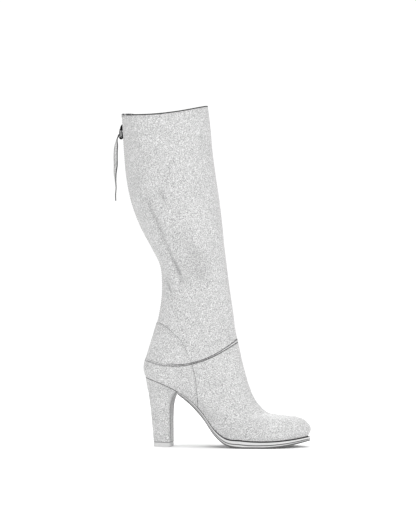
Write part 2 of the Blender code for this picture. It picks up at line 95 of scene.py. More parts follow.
FEATHER = [
    Station("heel_back", -95.6, 96.4, 0.0, 27.0),
    Station("heel_seat", -68.2, 86.6, 0.0, 28.0),
    Station("breast", BREAST_X, 77.0, 0.0, 27.0),
    Station("waist_back", -29.6, 63.0, -0.8, 25.5),
    Station("waist", -13.5, 45.5, -1.5, 26.5),
    Station("waist_front", 0.4, 26.0, -1.5, 29.5),
    Station("ball_back", 13.5, 15.0, -1.2, 33.0),
    Station("ball", 40.0, 10.4, -1.0, 38.5),
    Station("ball_front", 70.0, 9.0, 0.0, 39.5),
    Station("toe_base", 100.0, 10.6, 2.5, 37.5),
    Station("toe", 128.5, 14.2, 7.0, 33.0),
]
FRONT_LINE = [
    Profile("toe_feather", 128.5, 14.2),
    Profile("toe_bulge", 132.8, 24.2),
    Profile("toe_crown", 125.2, 36.4),
    Profile("toe_top", 113.0, 41.6),
    Profile("vamp_flat", 88.5, 44.1),
    Profile("vamp_break", 73.5, 47.2),
    Profile("instep_low", 59.2, 60.2),
    Profile("instep", 49.2, 78.9),
    Profile("instep_high", 40.9, 105.9),
    Profile("ankle_seam", 31.5, 146.7),
]
SHAFT = [
    Section("ankle_seam", -96.1, 121.5, 31.5, 146.7, 34.0, 18.6),
    Section("counter", -85.5, 155.8, 28.0, 164.1, 34.5, 9.0),
    Section("achilles", -78.0, 182.0, 25.2, 186.0, 35.5, 3.0),
    Section("ankle", -73.4, 225.1, 19.1, 227.9, 37.5, 0.0),
    Section("gather", -76.6, 252.8, 15.7, 255.6, 41.0, 0.0),
    Section("calf_rise", -87.7, 275.0, 12.9, 277.7, 45.0, 0.0),
    Section("calf_low", -102.6, 302.7, 10.1, 306.9, 49.0, 0.0),
    Section("calf_mid", -114.6, 333.2, 6.5, 337.4, 52.5, 0.0),
    Section("calf", -122.7, 369.9, 1.0, 374.8, 55.0, 1.0),
    Section("calf_high", -126.1, 403.9, -3.6, 409.4, 55.5, 2.5),
    Section("knee", -128.1, 435.7, -6.5, 442.7, 54.5, 4.5),
    Section("collar", -129.6, 460.4, -10.1, 471.8, 53.5, 6.5),
]
SOLE = [
    Layer("breast", BREAST_X, 1.6, 1.8, 0.4),
    Layer("waist_back", -30.0, 2.8, 3.2, 0.5),
    Layer("waist", -13.5, 3.0, 3.6, 0.6),
    Layer("waist_front", 0.4, 3.3, 3.7, 1.2),
    Layer("ball_back", 13.5, 4.0, 4.0, 2.2),
    Layer("ball", 40.0, 4.7, 5.1, 2.6),
    Layer("ball_front", 70.0, 4.1, 4.3, 2.6),
    Layer("toe_base", 100.0, 3.5, 3.8, 2.8),
    Layer("toe", 128.5, 2.6, 2.9, 3.0),
]
HEEL = [
    HeelRow("foot", 0.0, -85.3, -59.4, 15.5, 0.06),
    HeelRow("low", 0.25, -87.3, -59.6, 16.3, 0.06),
    HeelRow("middle", 0.55, -90.1, -59.7, 18.0, 0.06),
    HeelRow("neck", 0.80, -93.4, -58.0, 20.8, 0.05),
    HeelRow("cup", 0.93, -95.4, -54.2, 24.2, 0.02),
    HeelRow("seat", 1.0, -96.4, BREAST_X, 27.0, 0.0),
]
STRIP = [
    StripRow("tie", 2.9, 6.4, 88.0),
    StripRow("bend", 3.7, 9.4, 88.0),
    StripRow("shoulder", 5.0, 12.2, 80.0),
    StripRow("turn", 5.8, 16.1, 64.0),
    StripRow("upper", 6.2, 21.7, 40.0),
    StripRow("broad", 6.9, 28.6, 28.0),
    StripRow("middle", 7.1, 38.0, 24.0),
    StripRow("lower", 7.0, 49.4, 30.0),
    StripRow("narrow", 7.8, 60.0, 50.0),
    StripRow("low", 7.4, 70.2, 70.0),
    StripRow("tail", 6.6, 81.0, 83.0),
    StripRow("curl", 7.3, 90.5, 81.0),
    StripRow("tip", 7.0, 98.6, 86.0),
]

# In the tables below, angles are in degrees from the back seam
# Side seam of the heel quarter, by rise from feather edge (0) to ankle seam (1)
SIDE_SEAM = [
    SeamRow("feather", 0.0, 87.6),
    SeamRow("low", 0.2, 89.2),
    SeamRow("middle", 0.5, 94.0),
    SeamRow("high", 0.75, 95.5),
    SeamRow("ankle", 1.0, 93.0),
]
# Top edge of the heel counter, as the height that it reaches at each angle
COUNTER = [
    SeamRow("back", 174.2, 0.0),
    SeamRow("shoulder", 172.9, 38.0),
    SeamRow("slope_high", 164.0, 64.2),
    SeamRow("slope", 157.4, 75.0),
    SeamRow("slope_low", 150.3, 81.8),
    SeamRow("foot", 142.6, 87.5),
    SeamRow("corner", 134.1, 92.8),
]
COUNTER_GIRTH = 62.0  # millimetres round the counter to a radian
# Leather tab over the zip's end at the collar, as the length that it hangs down at each angle
ZIP_TAB = [
    SeamRow("opening", 6.0, 0.0),
    SeamRow("side", 3.4, 14.0),
    SeamRow("middle", 3.0, 36.0),
    SeamRow("end", 1.6, 47.0),
]
# Section of that tab: height from the collar, or from its hem where hem is 1, and distance out of the shaft
TAB_SECTION = [
    TabRow("hem_under", 1, 0.0, -0.3),
    TabRow("hem", 1, 0.0, 0.3),
    TabRow("hem_top", 1, 0.6, 0.5),
    TabRow("face", 0, -1.0, 0.5),
    TabRow("brow", 0, 0.0, 0.5),
    TabRow("turn", 0, 0.4, 0.35),
    TabRow("crown", 0, 0.5, -0.2),
    TabRow("crown_inside", 0, 0.5, -2.0),
    TabRow("turn_inside", 0, 0.4, -2.8),
    TabRow("brow_inside", 0, 0.0, -3.2),
    TabRow("hem_inside", 0, -3.0, -3.2),
    TabRow("hem_back", 0, -3.0, -1.7),
]
ZIP_TACKS = [(20.5, 25.5), (34.0, 45.0)]  # first and last angle of each bar tack
# A tack's stitch: its size, degrees to the next, and its middle below the collar and out of the shaft
TACK_SIZE, TACK_STEP, TACK_DOWN, TACK_OUT = (2.8, 0.75, 0.7), 1.1, 0.6, 0.6
# Piping in the ankle seam: half its width, and how dark the grooves beside it are
PIPING = [
    PipingRow("back", 0.0, 0.9, 0.6),
    PipingRow("heel_side", 45.0, 0.75, 0.65),
    PipingRow("side", 85.0, 0.4, 0.9),
    PipingRow("front_side", 115.0, 0.4, 1.0),
    PipingRow("instep_side", 145.0, 1.0, 1.0),
    PipingRow("front", 180.0, 1.6, 1.0),
]
OUTER, INNER = 1, -1
# Soft folds of the shaft as lines of (height, angle), with the trough's depth and width
CREASES = [
    Crease("calf_diagonal", OUTER, 1.5, 6.5, ((276, 60), (256, 61), (238, 68), (224, 68.5))),
    Crease("ankle_back", OUTER, 1.1, 5.0, ((234, 34), (222, 42), (210, 49.5))),
    Crease("calf_fold_front", OUTER, 0.9, 6.0, ((356, 78), (345, 80), (334, 81.5))),
    Crease("calf_fold_back", OUTER, 1.0, 7.0, ((344, 55), (322, 59), (302, 62))),
    Crease("instep_low", OUTER, 0.7, 3.0, ((147.5, 108), (150, 124), (152, 141))),
    Crease("instep_high", OUTER, 0.5, 3.5, ((160, 122), (162.5, 138), (163, 152))),
    Crease("calf_inner", INNER, 1.2, 7.0, ((280, 58), (258, 64), (236, 66))),
    Crease("ankle_inner", INNER, 1.0, 5.0, ((228, 40), (214, 50))),
    Crease("calf_middle", OUTER, 0.6, 8.0, ((308, 61), (290, 60.5), (270, 60.5))),
]
CREASE_SAMPLES = 24
# A fold's ridges: their height as a share of its depth, and their place in widths from its middle
CREASE_RIDGE, CREASE_RIDGE_AT = 0.4, 1.9
# Painted shade in a fold's trough to each millimetre of its depth, and how much narrower it is than the
# trough
CREASE_SHADE, CREASE_SHADE_NARROW = 0.3, 2.3
# Patches of painted shade on the shaft, each darkest in its middle
SHADE_PATCHES = [
    ShadePatch("ankle_front", OUTER, 242.0, 103.0, 13.0, 0.16),
    ShadePatch("gather_front", OUTER, 263.0, 100.0, 14.0, 0.12),
    ShadePatch("calf_front", OUTER, 290.0, 90.0, 16.0, 0.08),
    ShadePatch("calf_middle", OUTER, 300.0, 66.0, 13.0, 0.06),
    ShadePatch("calf_top", OUTER, 372.0, 62.0, 26.0, 0.04),
    ShadePatch("calf_inner", INNER, 250.0, 88.0, 18.0, 0.08),
]
# Strip's turn round the ring: its middle from the hinge, its radius, and the section's width and thickness
LOOP_MIDDLE, LOOP_R, LOOP_WIDE, LOOP_THICK = (-1.15, 0.0, -9.2), 1.5, 2.0, 0.8
# Section of the zip's tape: distance aside from the slot's edge, and depth below the shaft's outer face
TAPE_ASIDE = np.array([-1.9, -0.6, 0.3, 1.5, 5.0, 9.0])
TAPE_DEPTH = np.array([1.3, 1.35, 2.5, 2.6, 2.65, 2.7])
TAPE_HALF_THICK = 0.25
# A tooth's length, and how far its middle lies aside where the zip is closed
TOOTH_LONG, TOOTH_BITE = 2.75, 1.0
# How far the stitches keep from the counter's edge and the zip
STITCH_INSET, ZIP_STITCH_INSET = 1.7, 2.2
SIDE_STITCH_TURN = 1.7  # degrees between the quarter's side seam and its stitches
ANKLE_STITCH_INSET = 1.6  # from the ankle piping's edge
STITCH_SHARE = 0.72  # a stitch's length as a share of the stitches' spacing
# A tooth's height and the pitch of its row as shares of the teeth's spacing
TOOTH_SHARE, TOOTH_PITCH = 0.46, 0.98
# The lowest tooth and the stop above the zip's foot, and the highest tooth below the collar's back
TEETH_START, STOP_START, TEETH_END = 7.0, 5.0, 2.0
STOP_SIZE = (1.0, 1.7, 2.4)  # as shares of a tooth's
# Heel's plan: lengths of its back round and its corners as shares, and the share of a corner cut off in front
HEEL_BACK_ROUND, HEEL_CORNER_ROUND, HEEL_CORNER_CUT = 0.62, 0.16, 0.45
LIFT_INSET, LIFT_ROUND = 0.2, 0.6  # the toplift's step inside the heel, and the rounding of its edges
STRIP_TAPER, STRIP_TIP = 0.93, 0.35  # share of the strip's length where it narrows, and to what share
OVERLAY_ENDS = (88.0, 94.0)  # angles between which the panels beside the ankle seam end
# Darkened edges: how far from the edge the darkness is full and where it is gone, and its darkness
# Painted shade where the upper meets the sole and the heel
FEATHER_SHADE = DyeAndShadeEdge(0.9, 1.6, 1.0)
# Inked edges of the panels, the collar and the zip's tabs
QUARTER_EDGE = DyeAndShadeEdge(0.25, 0.75, 0.85)
COUNTER_EDGE = DyeAndShadeEdge(0.25, 0.75, 0.68)
COLLAR_EDGE = DyeAndShadeEdge(1.4, 1.9, 1.0)
TAB_HEM = DyeAndShadeEdge(0.2, 0.7, 0.8)
TAB_END = DyeAndShadeEdge(0.3, 0.9, 0.8)
# Painted shade at the joints of the sole's layers, and a painted contact shadow along the outsole's foot
SOLE_TOP_SHADE = DyeAndShadeEdge(0.2, 0.8, 1.0)
MIDSOLE_FOOT_SHADE = DyeAndShadeEdge(0.2, 0.8, 1.0)
OUTSOLE_FOOT_SHADOW = DyeAndShadeEdge(2.0, 2.6, 1.0)
# The heel's breast corner seams, and its foot darker at the toplift
HEEL_CORNER = DyeAndShadeEdge(0.4, 0.7, 1.0)
HEEL_FOOT = DyeAndShadeEdge(0.3, 1.0, 0.6)
# Painted shade where the heel's seat meets the upper
HEEL_SEAT_SHADE = DyeAndShadeEdge(0.4, 1.1, 1.0)

# Fineness of the surfaces
ROUND_COLUMNS = 240
FOOT_ROWS, SHAFT_ROWS = 84, 150
EDGE_STEPS = np.array([0.0, 0.25, 0.5, 0.8, 1.2, 1.7, 2.4, 3.3])
PANEL_COLUMNS, PANEL_ROWS = 140, 44
HEEL_SIDE, HEEL_BREAST = 56, 12
SMALL_STEP = 1e-3  # for slopes, in radians or as a share of the whole


def linear(hex_colour):
    """An sRGB colour such as "#d2d2d2" as linear red, green and blue."""
    values = [int(hex_colour[i : i + 2], 16) / 255 for i in (1, 3, 5)]
    return [v / 12.92 if v <= 0.04045 else ((v + 0.055) / 1.055) ** 2.4 for v in values]


def length_setting(name, description, millimetres):
    return bpy.props.FloatProperty(
        name=name, description=description, default=millimetres * MM, min=0.0, precision=5, unit="LENGTH"
    )


def colour_setting(name, description, hex_colour):
    return bpy.props.FloatVectorProperty(
        name=name,
        description=description,
        default=linear(hex_colour),
        size=3,
        min=0.0,
        max=1.0,
        subtype="COLOR",
    )


class BootSizes(bpy.types.PropertyGroup):
    overlay: length_setting("Overlay", "Thickness of the heel quarter and the counter", 0.7)
    piping: length_setting("Piping", "How far the ankle piping stands out", 0.7)
    stitch: length_setting("Stitch", "Spacing of the stitches", 2.8)
    thread: length_setting("Thread", "Thickness of the sewing thread", 0.6)
    tooth: length_setting("Tooth", "Spacing of the zip's teeth on one side", 2.4)
    grain: length_setting("Grain", "Width of one pebble of the leather's grain", 1.1)
    sole_round: length_setting("Sole rounding", "Rounding of the edges of the sole's layers", 0.8)
    crease: bpy.props.FloatProperty(
        name="Crease",
        description="How deep the folds are, as a share",
        default=1.0,
        min=0.0,
        subtype="FACTOR",
    )


class BootColours(bpy.types.PropertyGroup):
    leather: colour_setting("Leather", "Pale side of the grain", "#e2e2e2")
    grain: colour_setting("Grain", "Dark side of the grain", "#8c8c8c")
    # The seam colour also serves for the painted shade in seam grooves, joints, folds and patches
    seam: colour_setting("Seam", "Dyed edges and the bottoms of seams", "#1c1c1c")
    lining: colour_setting("Lining", "Leather inside the boot", "#c4c2be")
    sole: colour_setting("Sole", "Painted edge of the sole's layers", "#c4c4c4")
    tread: colour_setting("Tread", "Underside of the sole and the toplift", "#c8c8c8")
    metal: colour_setting("Metal", "Plated metal of the zip", "#18181a")
    tape: colour_setting("Tape", "Woven tape of the zip", "#4a4a4c")
    thread: colour_setting("Thread", "Sewing thread", "#8c8c8c")
    floor: colour_setting("Floor", "Paper that the boot stands on", "#f4f4f4")


class BootStage(bpy.types.PropertyGroup):
    azimuth: bpy.props.FloatProperty(
        name="Azimuth",
        description="Turn of the camera towards the toe",
        default=math.radians(5.0),
        subtype="ANGLE",
    )
    distance: length_setting("Distance", "Distance from the camera to the boot", 3500.0)
    height: length_setting("Height", "Height of the camera above the floor", 258.3)
    aside: bpy.props.FloatProperty(
        name="Aside",
        description="Place along the boot that the camera looks at",
        default=-9.7 * MM,
        unit="LENGTH",
    )
    lens: bpy.props.FloatProperty(
        name="Lens", description="Focal length of the camera in millimetres", default=174.8, unit="CAMERA"
    )


def mm(scene, name):
    """One of the boot's length settings in millimetres."""
    return getattr(scene.boot_sizes, name) / MM


# Curves and surfaces of the boot


def column(rows, name):
    """One named column of a table as an array."""
    return np.array([getattr(row, name) for row in rows], float)


def curve_through(knots, values, at):
    """Smooth curve through (knot, value) pairs: a cubic between knots, with slopes from their neighbours."""
    knots, values, at = (np.asarray(v, float) for v in (knots, values, at))
    steps = np.diff(knots)
    slopes = np.diff(values) / steps
    inner = (slopes[:-1] * steps[1:] + slopes[1:] * steps[:-1]) / (steps[:-1] + steps[1:])
    tangents = np.concatenate([[slopes[0]], inner, [slopes[-1]]])
    i = np.clip(np.searchsorted(knots, at, side="right") - 1, 0, len(steps) - 1)
    t = (at - knots[i]) / steps[i]
    return (
        values[i] * (1 + 2 * t) * (1 - t) ** 2
        + tangents[i] * steps[i] * t * (1 - t) ** 2
        + values[i + 1] * t**2 * (3 - 2 * t)
        + tangents[i + 1] * steps[i] * t**2 * (t - 1)
    )


def table_at(rows, key, name, at):
    """A table's column, read smoothly at any value of its key column."""
    return curve_through(column(rows, key), column(rows, name), at)


def end_round(distance, length, power=2.0):
    """How much of its full width an outline has this far from its end, as a superellipse."""
    share = np.clip(1 - distance / length, 0, 1)
    return (1 - share**power) ** (1 / power)


def ease(low, high, value):
    """0 below low, 1 above high, and a smooth cubic step between."""
    share = np.clip((value - low) / (high - low), 0, 1)
    return share**2 * (3 - 2 * share)


def dye_and_shade(edge, distance):
    """Darkness at a distance from an edge, inked or laid as painted shade: its full tone, then a smooth step
    down to none.
    """
    return edge.tone * (1 - ease(edge.full, edge.gone, distance))


def cosine_steps(count):
    """Numbers from 0 to 1 that lie closer together towards both ends."""
    return (1 - np.cos(np.linspace(0, math.pi, count))) / 2


def crowded_steps(count, pull):
    """Numbers from 0 to 1, pulled towards both ends: evenly spaced where pull is 0."""
    share = np.linspace(0, 1, count)
    return share - pull * np.sin(2 * math.pi * share) / (2 * math.pi)


def signed_power(value, exponent):
    return np.sign(value) * np.abs(value) ** exponent


def from_back(angle):
    """Angle from the back seam in degrees, the same on both sides."""
    return np.degrees(np.arccos(np.clip(np.cos(angle), -1, 1)))


def feather_z(x):
    return table_at(FEATHER, "x", "z", x)


def outline_half(x):
    """Half width of the feather edge at x, rounded off at heel and toe."""
    heel = end_round(x - FEATHER[0].x, HEEL_ROUND)
    toe = end_round(FEATHER[-1].x - x, TOE_ROUND, TOE_POWER)
    return table_at(FEATHER, "x", "half", x) * heel * toe


def section_point(row, angle):
    """Points of one shaft section: an egg-shaped ring between its back and front points, sagging between."""
    share = (1 - np.cos(angle)) / 2
    x = row["back_x"] + (row["front_x"] - row["back_x"]) * share
    z = row["back_z"] + (row["front_z"] - row["back_z"]) * share - 4 * row["sag"] * share * (1 - share)
    y = -row["half"] * np.sin(angle) * (1 + SHAFT_EGG * np.cos(angle))
    return np.stack([x, y, z], -1)


SHAFT_MIDDLES = (column(SHAFT, "back_z") + column(SHAFT, "front_z")) / 2
SHAFT_LOW, SHAFT_HIGH = SHAFT_MIDDLES[[0, -1]]


def shaft_surface(angle, height):
    """Outer face of the shaft: the section whose middle is at this height, read at this angle."""
    row = {name: curve_through(SHAFT_MIDDLES, column(SHAFT, name), height) for name in Section._fields[1:]}
    return section_point(row, angle)


def front_profile(share):
    """Points of the front line, from the toe's feather edge to the ankle seam, by share of its length."""
    x, z = column(FRONT_LINE, "x"), column(FRONT_LINE, "z")
    knots = np.concatenate([[0], np.cumsum(np.hypot(np.diff(x), np.diff(z)))])
    at = np.asarray(share) * knots[-1]
    return np.stack([curve_through(knots, x, at), curve_through(knots, z, at)], -1)


def heel_profile(share):
    """Points of the heel's back line: straight from feather edge to ankle seam, with a swell between."""
    share = np.asarray(share)[..., None]
    start = np.array([FEATHER[0].x, FEATHER[0].z])
    end = np.array([SHAFT[0].back_x, SHAFT[0].back_z])
    swell = np.array([-HEEL_BULGE, 0.0])
    return start + (end - start) * share + swell * 4 * share * (1 - share)


def along_foot(angle):
    """Where along the feather edge a point of the upper starts."""
    share = (1 - np.cos(angle)) / 2
    heel_x, toe_x = FEATHER[0].x, FEATHER[-1].x
    return heel_x + (toe_x - heel_x) * share * (HEEL_SHARE + (1 - HEEL_SHARE) * share)


def foot_surface(angle, rise):
    """Outer face of the foot: angle runs round it, rise from feather edge (0) to ankle seam (1).

    In side view it runs straight from feather edge to seam, pulled at its ends onto the heel's and front
    lines. Its half width goes from the insole's to the ankle's, with a swell in between.
    """
    share = (1 - np.cos(angle)) / 2
    foot_x = along_foot(angle)
    bottom = np.stack([foot_x, feather_z(foot_x)], -1)
    seam = section_point(SHAFT[0]._asdict(), angle)
    s, t = share[..., None], np.asarray(rise)[..., None]
    straight_back = (1 - t) * heel_profile(0.0) + t * heel_profile(1.0)
    straight_front = (1 - t) * front_profile(0.0) + t * front_profile(1.0)
    side = (1 - t) * bottom + t * seam[..., [0, 2]]
    side += (1 - s) ** 3 * (heel_profile(rise) - straight_back)
    side += s**3 * (front_profile(rise) - straight_front)
    half = outline_half(foot_x)
    swell = FOOT_BULGE * np.sin(math.pi * rise**0.55) * np.abs(np.sin(angle)) ** 0.7
    width = (1 - rise) * half + rise * np.abs(seam[..., 1]) + swell
    centre = (1 - rise) * table_at(FEATHER, "x", "centre", foot_x)
    return np.stack([side[..., 0], centre - np.sign(np.sin(angle)) * width, side[..., 1]], -1)


def unit(vectors):
    return vectors / np.maximum(np.linalg.norm(vectors, axis=-1, keepdims=True), 1e-12)


def with_normals(surface, angle, other, low, high):
    """Points of a surface and its outward unit normals, from small steps in its two parameters."""
    step = SMALL_STEP * (high - low)
    round_step = surface(angle + SMALL_STEP, other) - surface(angle - SMALL_STEP, other)
    up_step = surface(angle, np.minimum(other + step, high)) - surface(angle, np.maximum(other - step, low))
    return surface(angle, other), unit(np.cross(round_step, up_step))


def shaft_normals(angle, height):
    return with_normals(shaft_surface, angle, height, SHAFT_LOW, SHAFT_HIGH)


def foot_normals(angle, rise):
    return with_normals(foot_surface, angle, rise, 0.0, 1.0)


def run_length(grid, axis):
    """Distance along a grid's lines in one direction, from their first points."""
    step = np.linalg.norm(np.diff(grid, axis=axis), axis=-1)
    return np.concatenate([np.zeros_like(np.take(step, [0], axis)), np.cumsum(step, axis)], axis)


def from_edges(grid, axis):
    """Distance along a grid's lines from the first and from the last point of each."""
    run = run_length(grid, axis)
    return run, np.take(run, [-1], axis) - run


def quarter_round(distance, radius):
    """Height of a rounded edge, as a share, at a distance from it: a quarter circle, then flat."""
    return np.sqrt(1 - np.clip(1 - distance / radius, 0, 1) ** 2)


def crease_relief(points, depth_share):
    """How far the folds move points along their normals, and how much painted shade they lay in their
    troughs.

    Each fold is a trough with the section of a bell curve and a low ridge on either side. It fades at its
    ends.
    """
    relief, tone = np.zeros(points.shape[:-1]), np.zeros(points.shape[:-1])
    share = np.linspace(0, 1, CREASE_SAMPLES)
    for crease in CREASES:
        knots = np.linspace(0, 1, len(crease.points))
        height, angle = (curve_through(knots, values, share) for values in zip(*crease.points))
        line = shaft_surface(np.radians(angle) * crease.side, height)
        away = np.linalg.norm(points[..., None, :] - line, axis=-1)
        fade = np.sin(math.pi * (away.argmin(-1) + 0.5) / CREASE_SAMPLES) ** 0.7
        ratio = away.min(-1) / crease.width
        section = CREASE_RIDGE * np.exp(-((ratio - CREASE_RIDGE_AT) ** 2)) - np.exp(-(ratio**2))
        relief += depth_share * crease.depth * fade * section
        # Painted shade along the trough, narrower than it
        dark = CREASE_SHADE * np.exp(-((CREASE_SHADE_NARROW * ratio) ** 2))
        tone += depth_share * crease.depth * fade * dark
    return relief, tone


def patch_shade(points):
    """Painted shade of the patches: a bell curve of the distance from each one's middle."""
    tone = np.zeros(points.shape[:-1])
    for patch in SHADE_PATCHES:
        middle = shaft_surface(np.radians(patch.angle) * patch.side, np.float64(patch.height))
        away = np.linalg.norm(points - middle, axis=-1)
        tone += patch.tone * np.exp(-((away / patch.reach) ** 2))
    return tone


def back_line(height, depth=0.0):
    """Points on the shaft's back line at given heights, moved outwards by depth, and the line's normals."""
    fine = np.linspace(SHAFT_LOW, SHAFT_HIGH, 400)
    line = shaft_surface(np.zeros_like(fine), fine)
    x = np.interp(height, line[:, 2], line[:, 0])
    slope = np.interp(height, line[:, 2], np.gradient(line[:, 0], line[:, 2]))
    normal = unit(np.stack([-np.ones_like(slope), np.zeros_like(slope), slope], -1))
    points = np.stack([x, np.zeros_like(x), np.asarray(height, float)], -1)
    return points + normal * depth, normal


def slot_half(height):
    """Half the width of the back opening at a height: closed below the zip, wider above the slider."""
    heights = [ZIP_FOOT_Z, ZIP_FOOT_Z + 4, SLIDER_Z - SLIDER_TALL / 2, SHAFT[-1].back_z]
    return np.interp(height, heights, [0.0, SLOT_HALF, SLOT_HALF, SLOT_HALF_TOP])


def angle_at(aside, height):
    """Angle on the shaft's back at a distance aside from its middle."""
    half = curve_through(SHAFT_MIDDLES, column(SHAFT, "half"), height)
    return np.arcsin(aside / half / (1 + SHAFT_EGG))


# Meshes


def grid_quads(rows, columns, closed=False):
    """Quads of a grid of points, row by row, joined round where its rows are closed rings."""
    corner = np.arange(rows * columns).reshape(rows, columns)
    if closed:
        corner = np.concatenate([corner, corner[:, :1]], 1)
    quads = np.stack([corner[:-1, :-1], corner[:-1, 1:], corner[1:, 1:], corner[1:, :-1]], -1)
    return quads.reshape(-1, 4)


def strip_quads(ring):
    """Quads across a ring of point numbers that runs up one side and back down the other."""
    half = len(ring) // 2
    near, far = ring[:half], ring[::-1][:half]
    return np.stack([near[:-1], far[:-1], far[1:], near[1:]], -1)


def new_mesh(name, points, faces, fields=None, uv=None):
    """A smooth mesh in metres from points in millimetres, with named values and map coordinates by point."""
    mesh = bpy.data.meshes.new(name)
    mesh.from_pydata((np.reshape(points, (-1, 3)) * MM).tolist(), [], np.asarray(faces).tolist())
    for field, values in (fields or {}).items():
        layer = mesh.attributes.new(field, "FLOAT", "POINT")
        layer.data.foreach_set("value", np.ravel(values).astype(np.float32))
    if uv is not None:
        corners = np.empty(len(mesh.loops), np.int32)
        mesh.loops.foreach_get("vertex_index", corners)
        layer = mesh.uv_layers.new(name="UVMap")
        layer.data.foreach_set("uv", np.reshape(uv, (-1, 2))[corners].ravel().astype(np.float32))
    work = bmesh.new()
    work.from_mesh(mesh)
    bmesh.ops.remove_doubles(work, verts=work.verts, dist=1e-6)
    bmesh.ops.dissolve_degenerate(work, edges=work.edges, dist=1e-8)
    work.to_mesh(mesh)
    work.free()
    mesh.shade_smooth()
    return mesh


def add_piece(mesh, materials, body, nodes=()):
    """A piece named as its mesh, that rides on a body and may stand for nodes of the frame."""
    made = bpy.data.objects.new(mesh.name, mesh)
    bpy.context.scene.collection.objects.link(made)
    for finish in materials:
        mesh.materials.append(finish)
    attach(made, body)
    if nodes:
        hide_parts(*nodes)
    return made


def add_leather(scene, mesh, body=BOOT, nodes=()):
    """A piece all in the boot's leather."""
    return add_piece(mesh, [boot_leather(scene)], body, nodes)


def add_lined_leather(scene, mesh, nodes):
    """An open surface of leather, thickened inwards, with a lining inside and a dyed edge at its rims."""
    finishes = [boot_leather(scene), lining(scene), dyed_edge(scene)]
    wall = add_piece(mesh, finishes, BOOT, nodes).modifiers.new("Wall", "SOLIDIFY")
    wall.thickness = WALL * MM
    wall.offset = -1.0
    wall.use_even_offset = True
    wall.material_offset = 1
    wall.material_offset_rim = 2


def rounded_block(rows, columns, square, across_square):
    """Unit block with rounded edges: a superellipsoid, box-like where its powers are small.

    First axis = sin(v)^square, the others = cos(v)^square times cos(u) and sin(u) ^across_square.
    """
    u, v = np.meshgrid(
        np.linspace(0, 2 * math.pi, columns, False), np.linspace(-math.pi / 2, math.pi / 2, rows)
    )
    level, reach = signed_power(np.sin(v), square), signed_power(np.cos(v), square)
    first, second = (reach * signed_power(wave(u), across_square) for wave in (np.cos, np.sin))
    return np.stack([level, first, second], -1)


def placed_blocks(block, sizes, centres, axes):
    """Copies of a unit block: scaled by half sizes, turned to three axes each and moved to their centres."""
    points = np.reshape(block, (-1, 3))[None] * np.asarray(sizes)[:, None, :] / 2
    return np.einsum("nmk,nkj->nmj", points, axes) + np.asarray(centres)[:, None, :]


def block_faces(block, count):
    """Quads of several copies of a block, numbered one after another."""
    rows, columns, _ = block.shape
    quads = grid_quads(rows, columns, closed=True)
    return (quads[None] + (np.arange(count) * rows * columns)[:, None, None]).reshape(-1, 4)


def blocks_mesh(name, block, rows):
    """One mesh of copies of a block, from rows of their sizes, centres and axes."""
    sizes, centres, axes = (np.concatenate(parts) for parts in zip(*rows))
    return new_mesh(name, placed_blocks(block, sizes, centres, axes), block_faces(block, len(sizes)))


def loft_mesh(name, rings, fields=None):
    """A closed solid through rings that run up one side and back down the other, with its ends filled."""
    rings = np.asarray(rings)
    count, around, _ = rings.shape
    numbers = np.arange(count * around).reshape(count, around)
    faces = np.concatenate(
        [grid_quads(count, around, closed=True), strip_quads(numbers[0]), strip_quads(numbers[-1])[:, ::-1]]
    )
    mesh = new_mesh(name, rings, faces, fields)
    work = bmesh.new()
    work.from_mesh(mesh)
    bmesh.ops.recalc_face_normals(work, faces=work.faces)
    work.to_mesh(mesh)
    work.free()
    mesh.set_sharp_from_angle(angle=math.radians(50))
    return mesh


def sweep(path, side, lift, profile):
    """A profile carried along a path: point = path + side * first + lift * second coordinate."""
    profile = np.asarray(profile)
    if profile.ndim == 2:
        profile = profile[None]
    return path[:, None] + side[:, None] * profile[..., :1] + lift[:, None] * profile[..., 1:]


def resample(path, spacing):
    """Places at about equal spacing along a path, as fractions of its point numbers."""
    run = run_length(path, 0)
    count = max(int(round(run[-1] / spacing)), 2)
    return np.interp((np.arange(count) + 0.5) / count * run[-1], run, np.arange(len(path)))


def read_at(values, places):
    """Rows of an array read at fractional row numbers."""
    numbers = np.arange(len(values))
    return np.stack([np.interp(places, numbers, one) for one in values.T], -1)


# Materials

MIX_FACTOR, MIX_A, MIX_B, MIX_RESULT = 0, 6, 7, 2


def add_node(tree, kind, settings=None, inputs=None):
    """A node with its settings, and with each input given a value or linked to a socket."""
    made = tree.nodes.new(kind)
    for name, value in (settings or {}).items():
        setattr(made, name, value)
    for key, value in (inputs or {}).items():
        if isinstance(value, bpy.types.NodeSocket):
            tree.links.new(value, made.inputs[key])
        else:
            made.inputs[key].default_value = value
    return made


def noise(tree, place, width, detail, roughness=0.5):
    """Cloudy noise with spots of about this width in millimetres."""
    inputs = {"Vector": place, "Scale": 1 / (width * MM), "Detail": detail, "Roughness": roughness}
    return add_node(tree, "ShaderNodeTexNoise", inputs=inputs).outputs


def bands(tree, place, width, direction, distortion=0.0):
    """Waves in one direction, with bands of this width in millimetres."""
    settings = {"wave_type": "BANDS", "bands_direction": direction}
    inputs = {"Vector": place, "Scale": 0.5 / (width * MM) / math.pi, "Distortion": distortion}
    return add_node(tree, "ShaderNodeTexWave", settings, inputs).outputs["Fac"]


def ranged(tree, value, low, high, to_low, to_high, kind="LINEAR"):
    """A value carried from one range to another, and held at its ends."""
    inputs = {"Value": value, "From Min": low, "From Max": high, "To Min": to_low, "To Max": to_high}
    return add_node(tree, "ShaderNodeMapRange", {"interpolation_type": kind}, inputs).outputs[0]


def mixed(tree, factor, first, second, blend="MIX"):
    """The first colour turning into the second as the factor rises."""
    settings = {"data_type": "RGBA", "blend_type": blend}
    return add_node(
        tree, "ShaderNodeMix", settings, {MIX_FACTOR: factor, MIX_A: first, MIX_B: second}
    ).outputs[MIX_RESULT]


def toned(colour, share=1.0):
    """A colour made darker or paler by a share, with full alpha."""
    return (*(share * value for value in colour), 1.0)


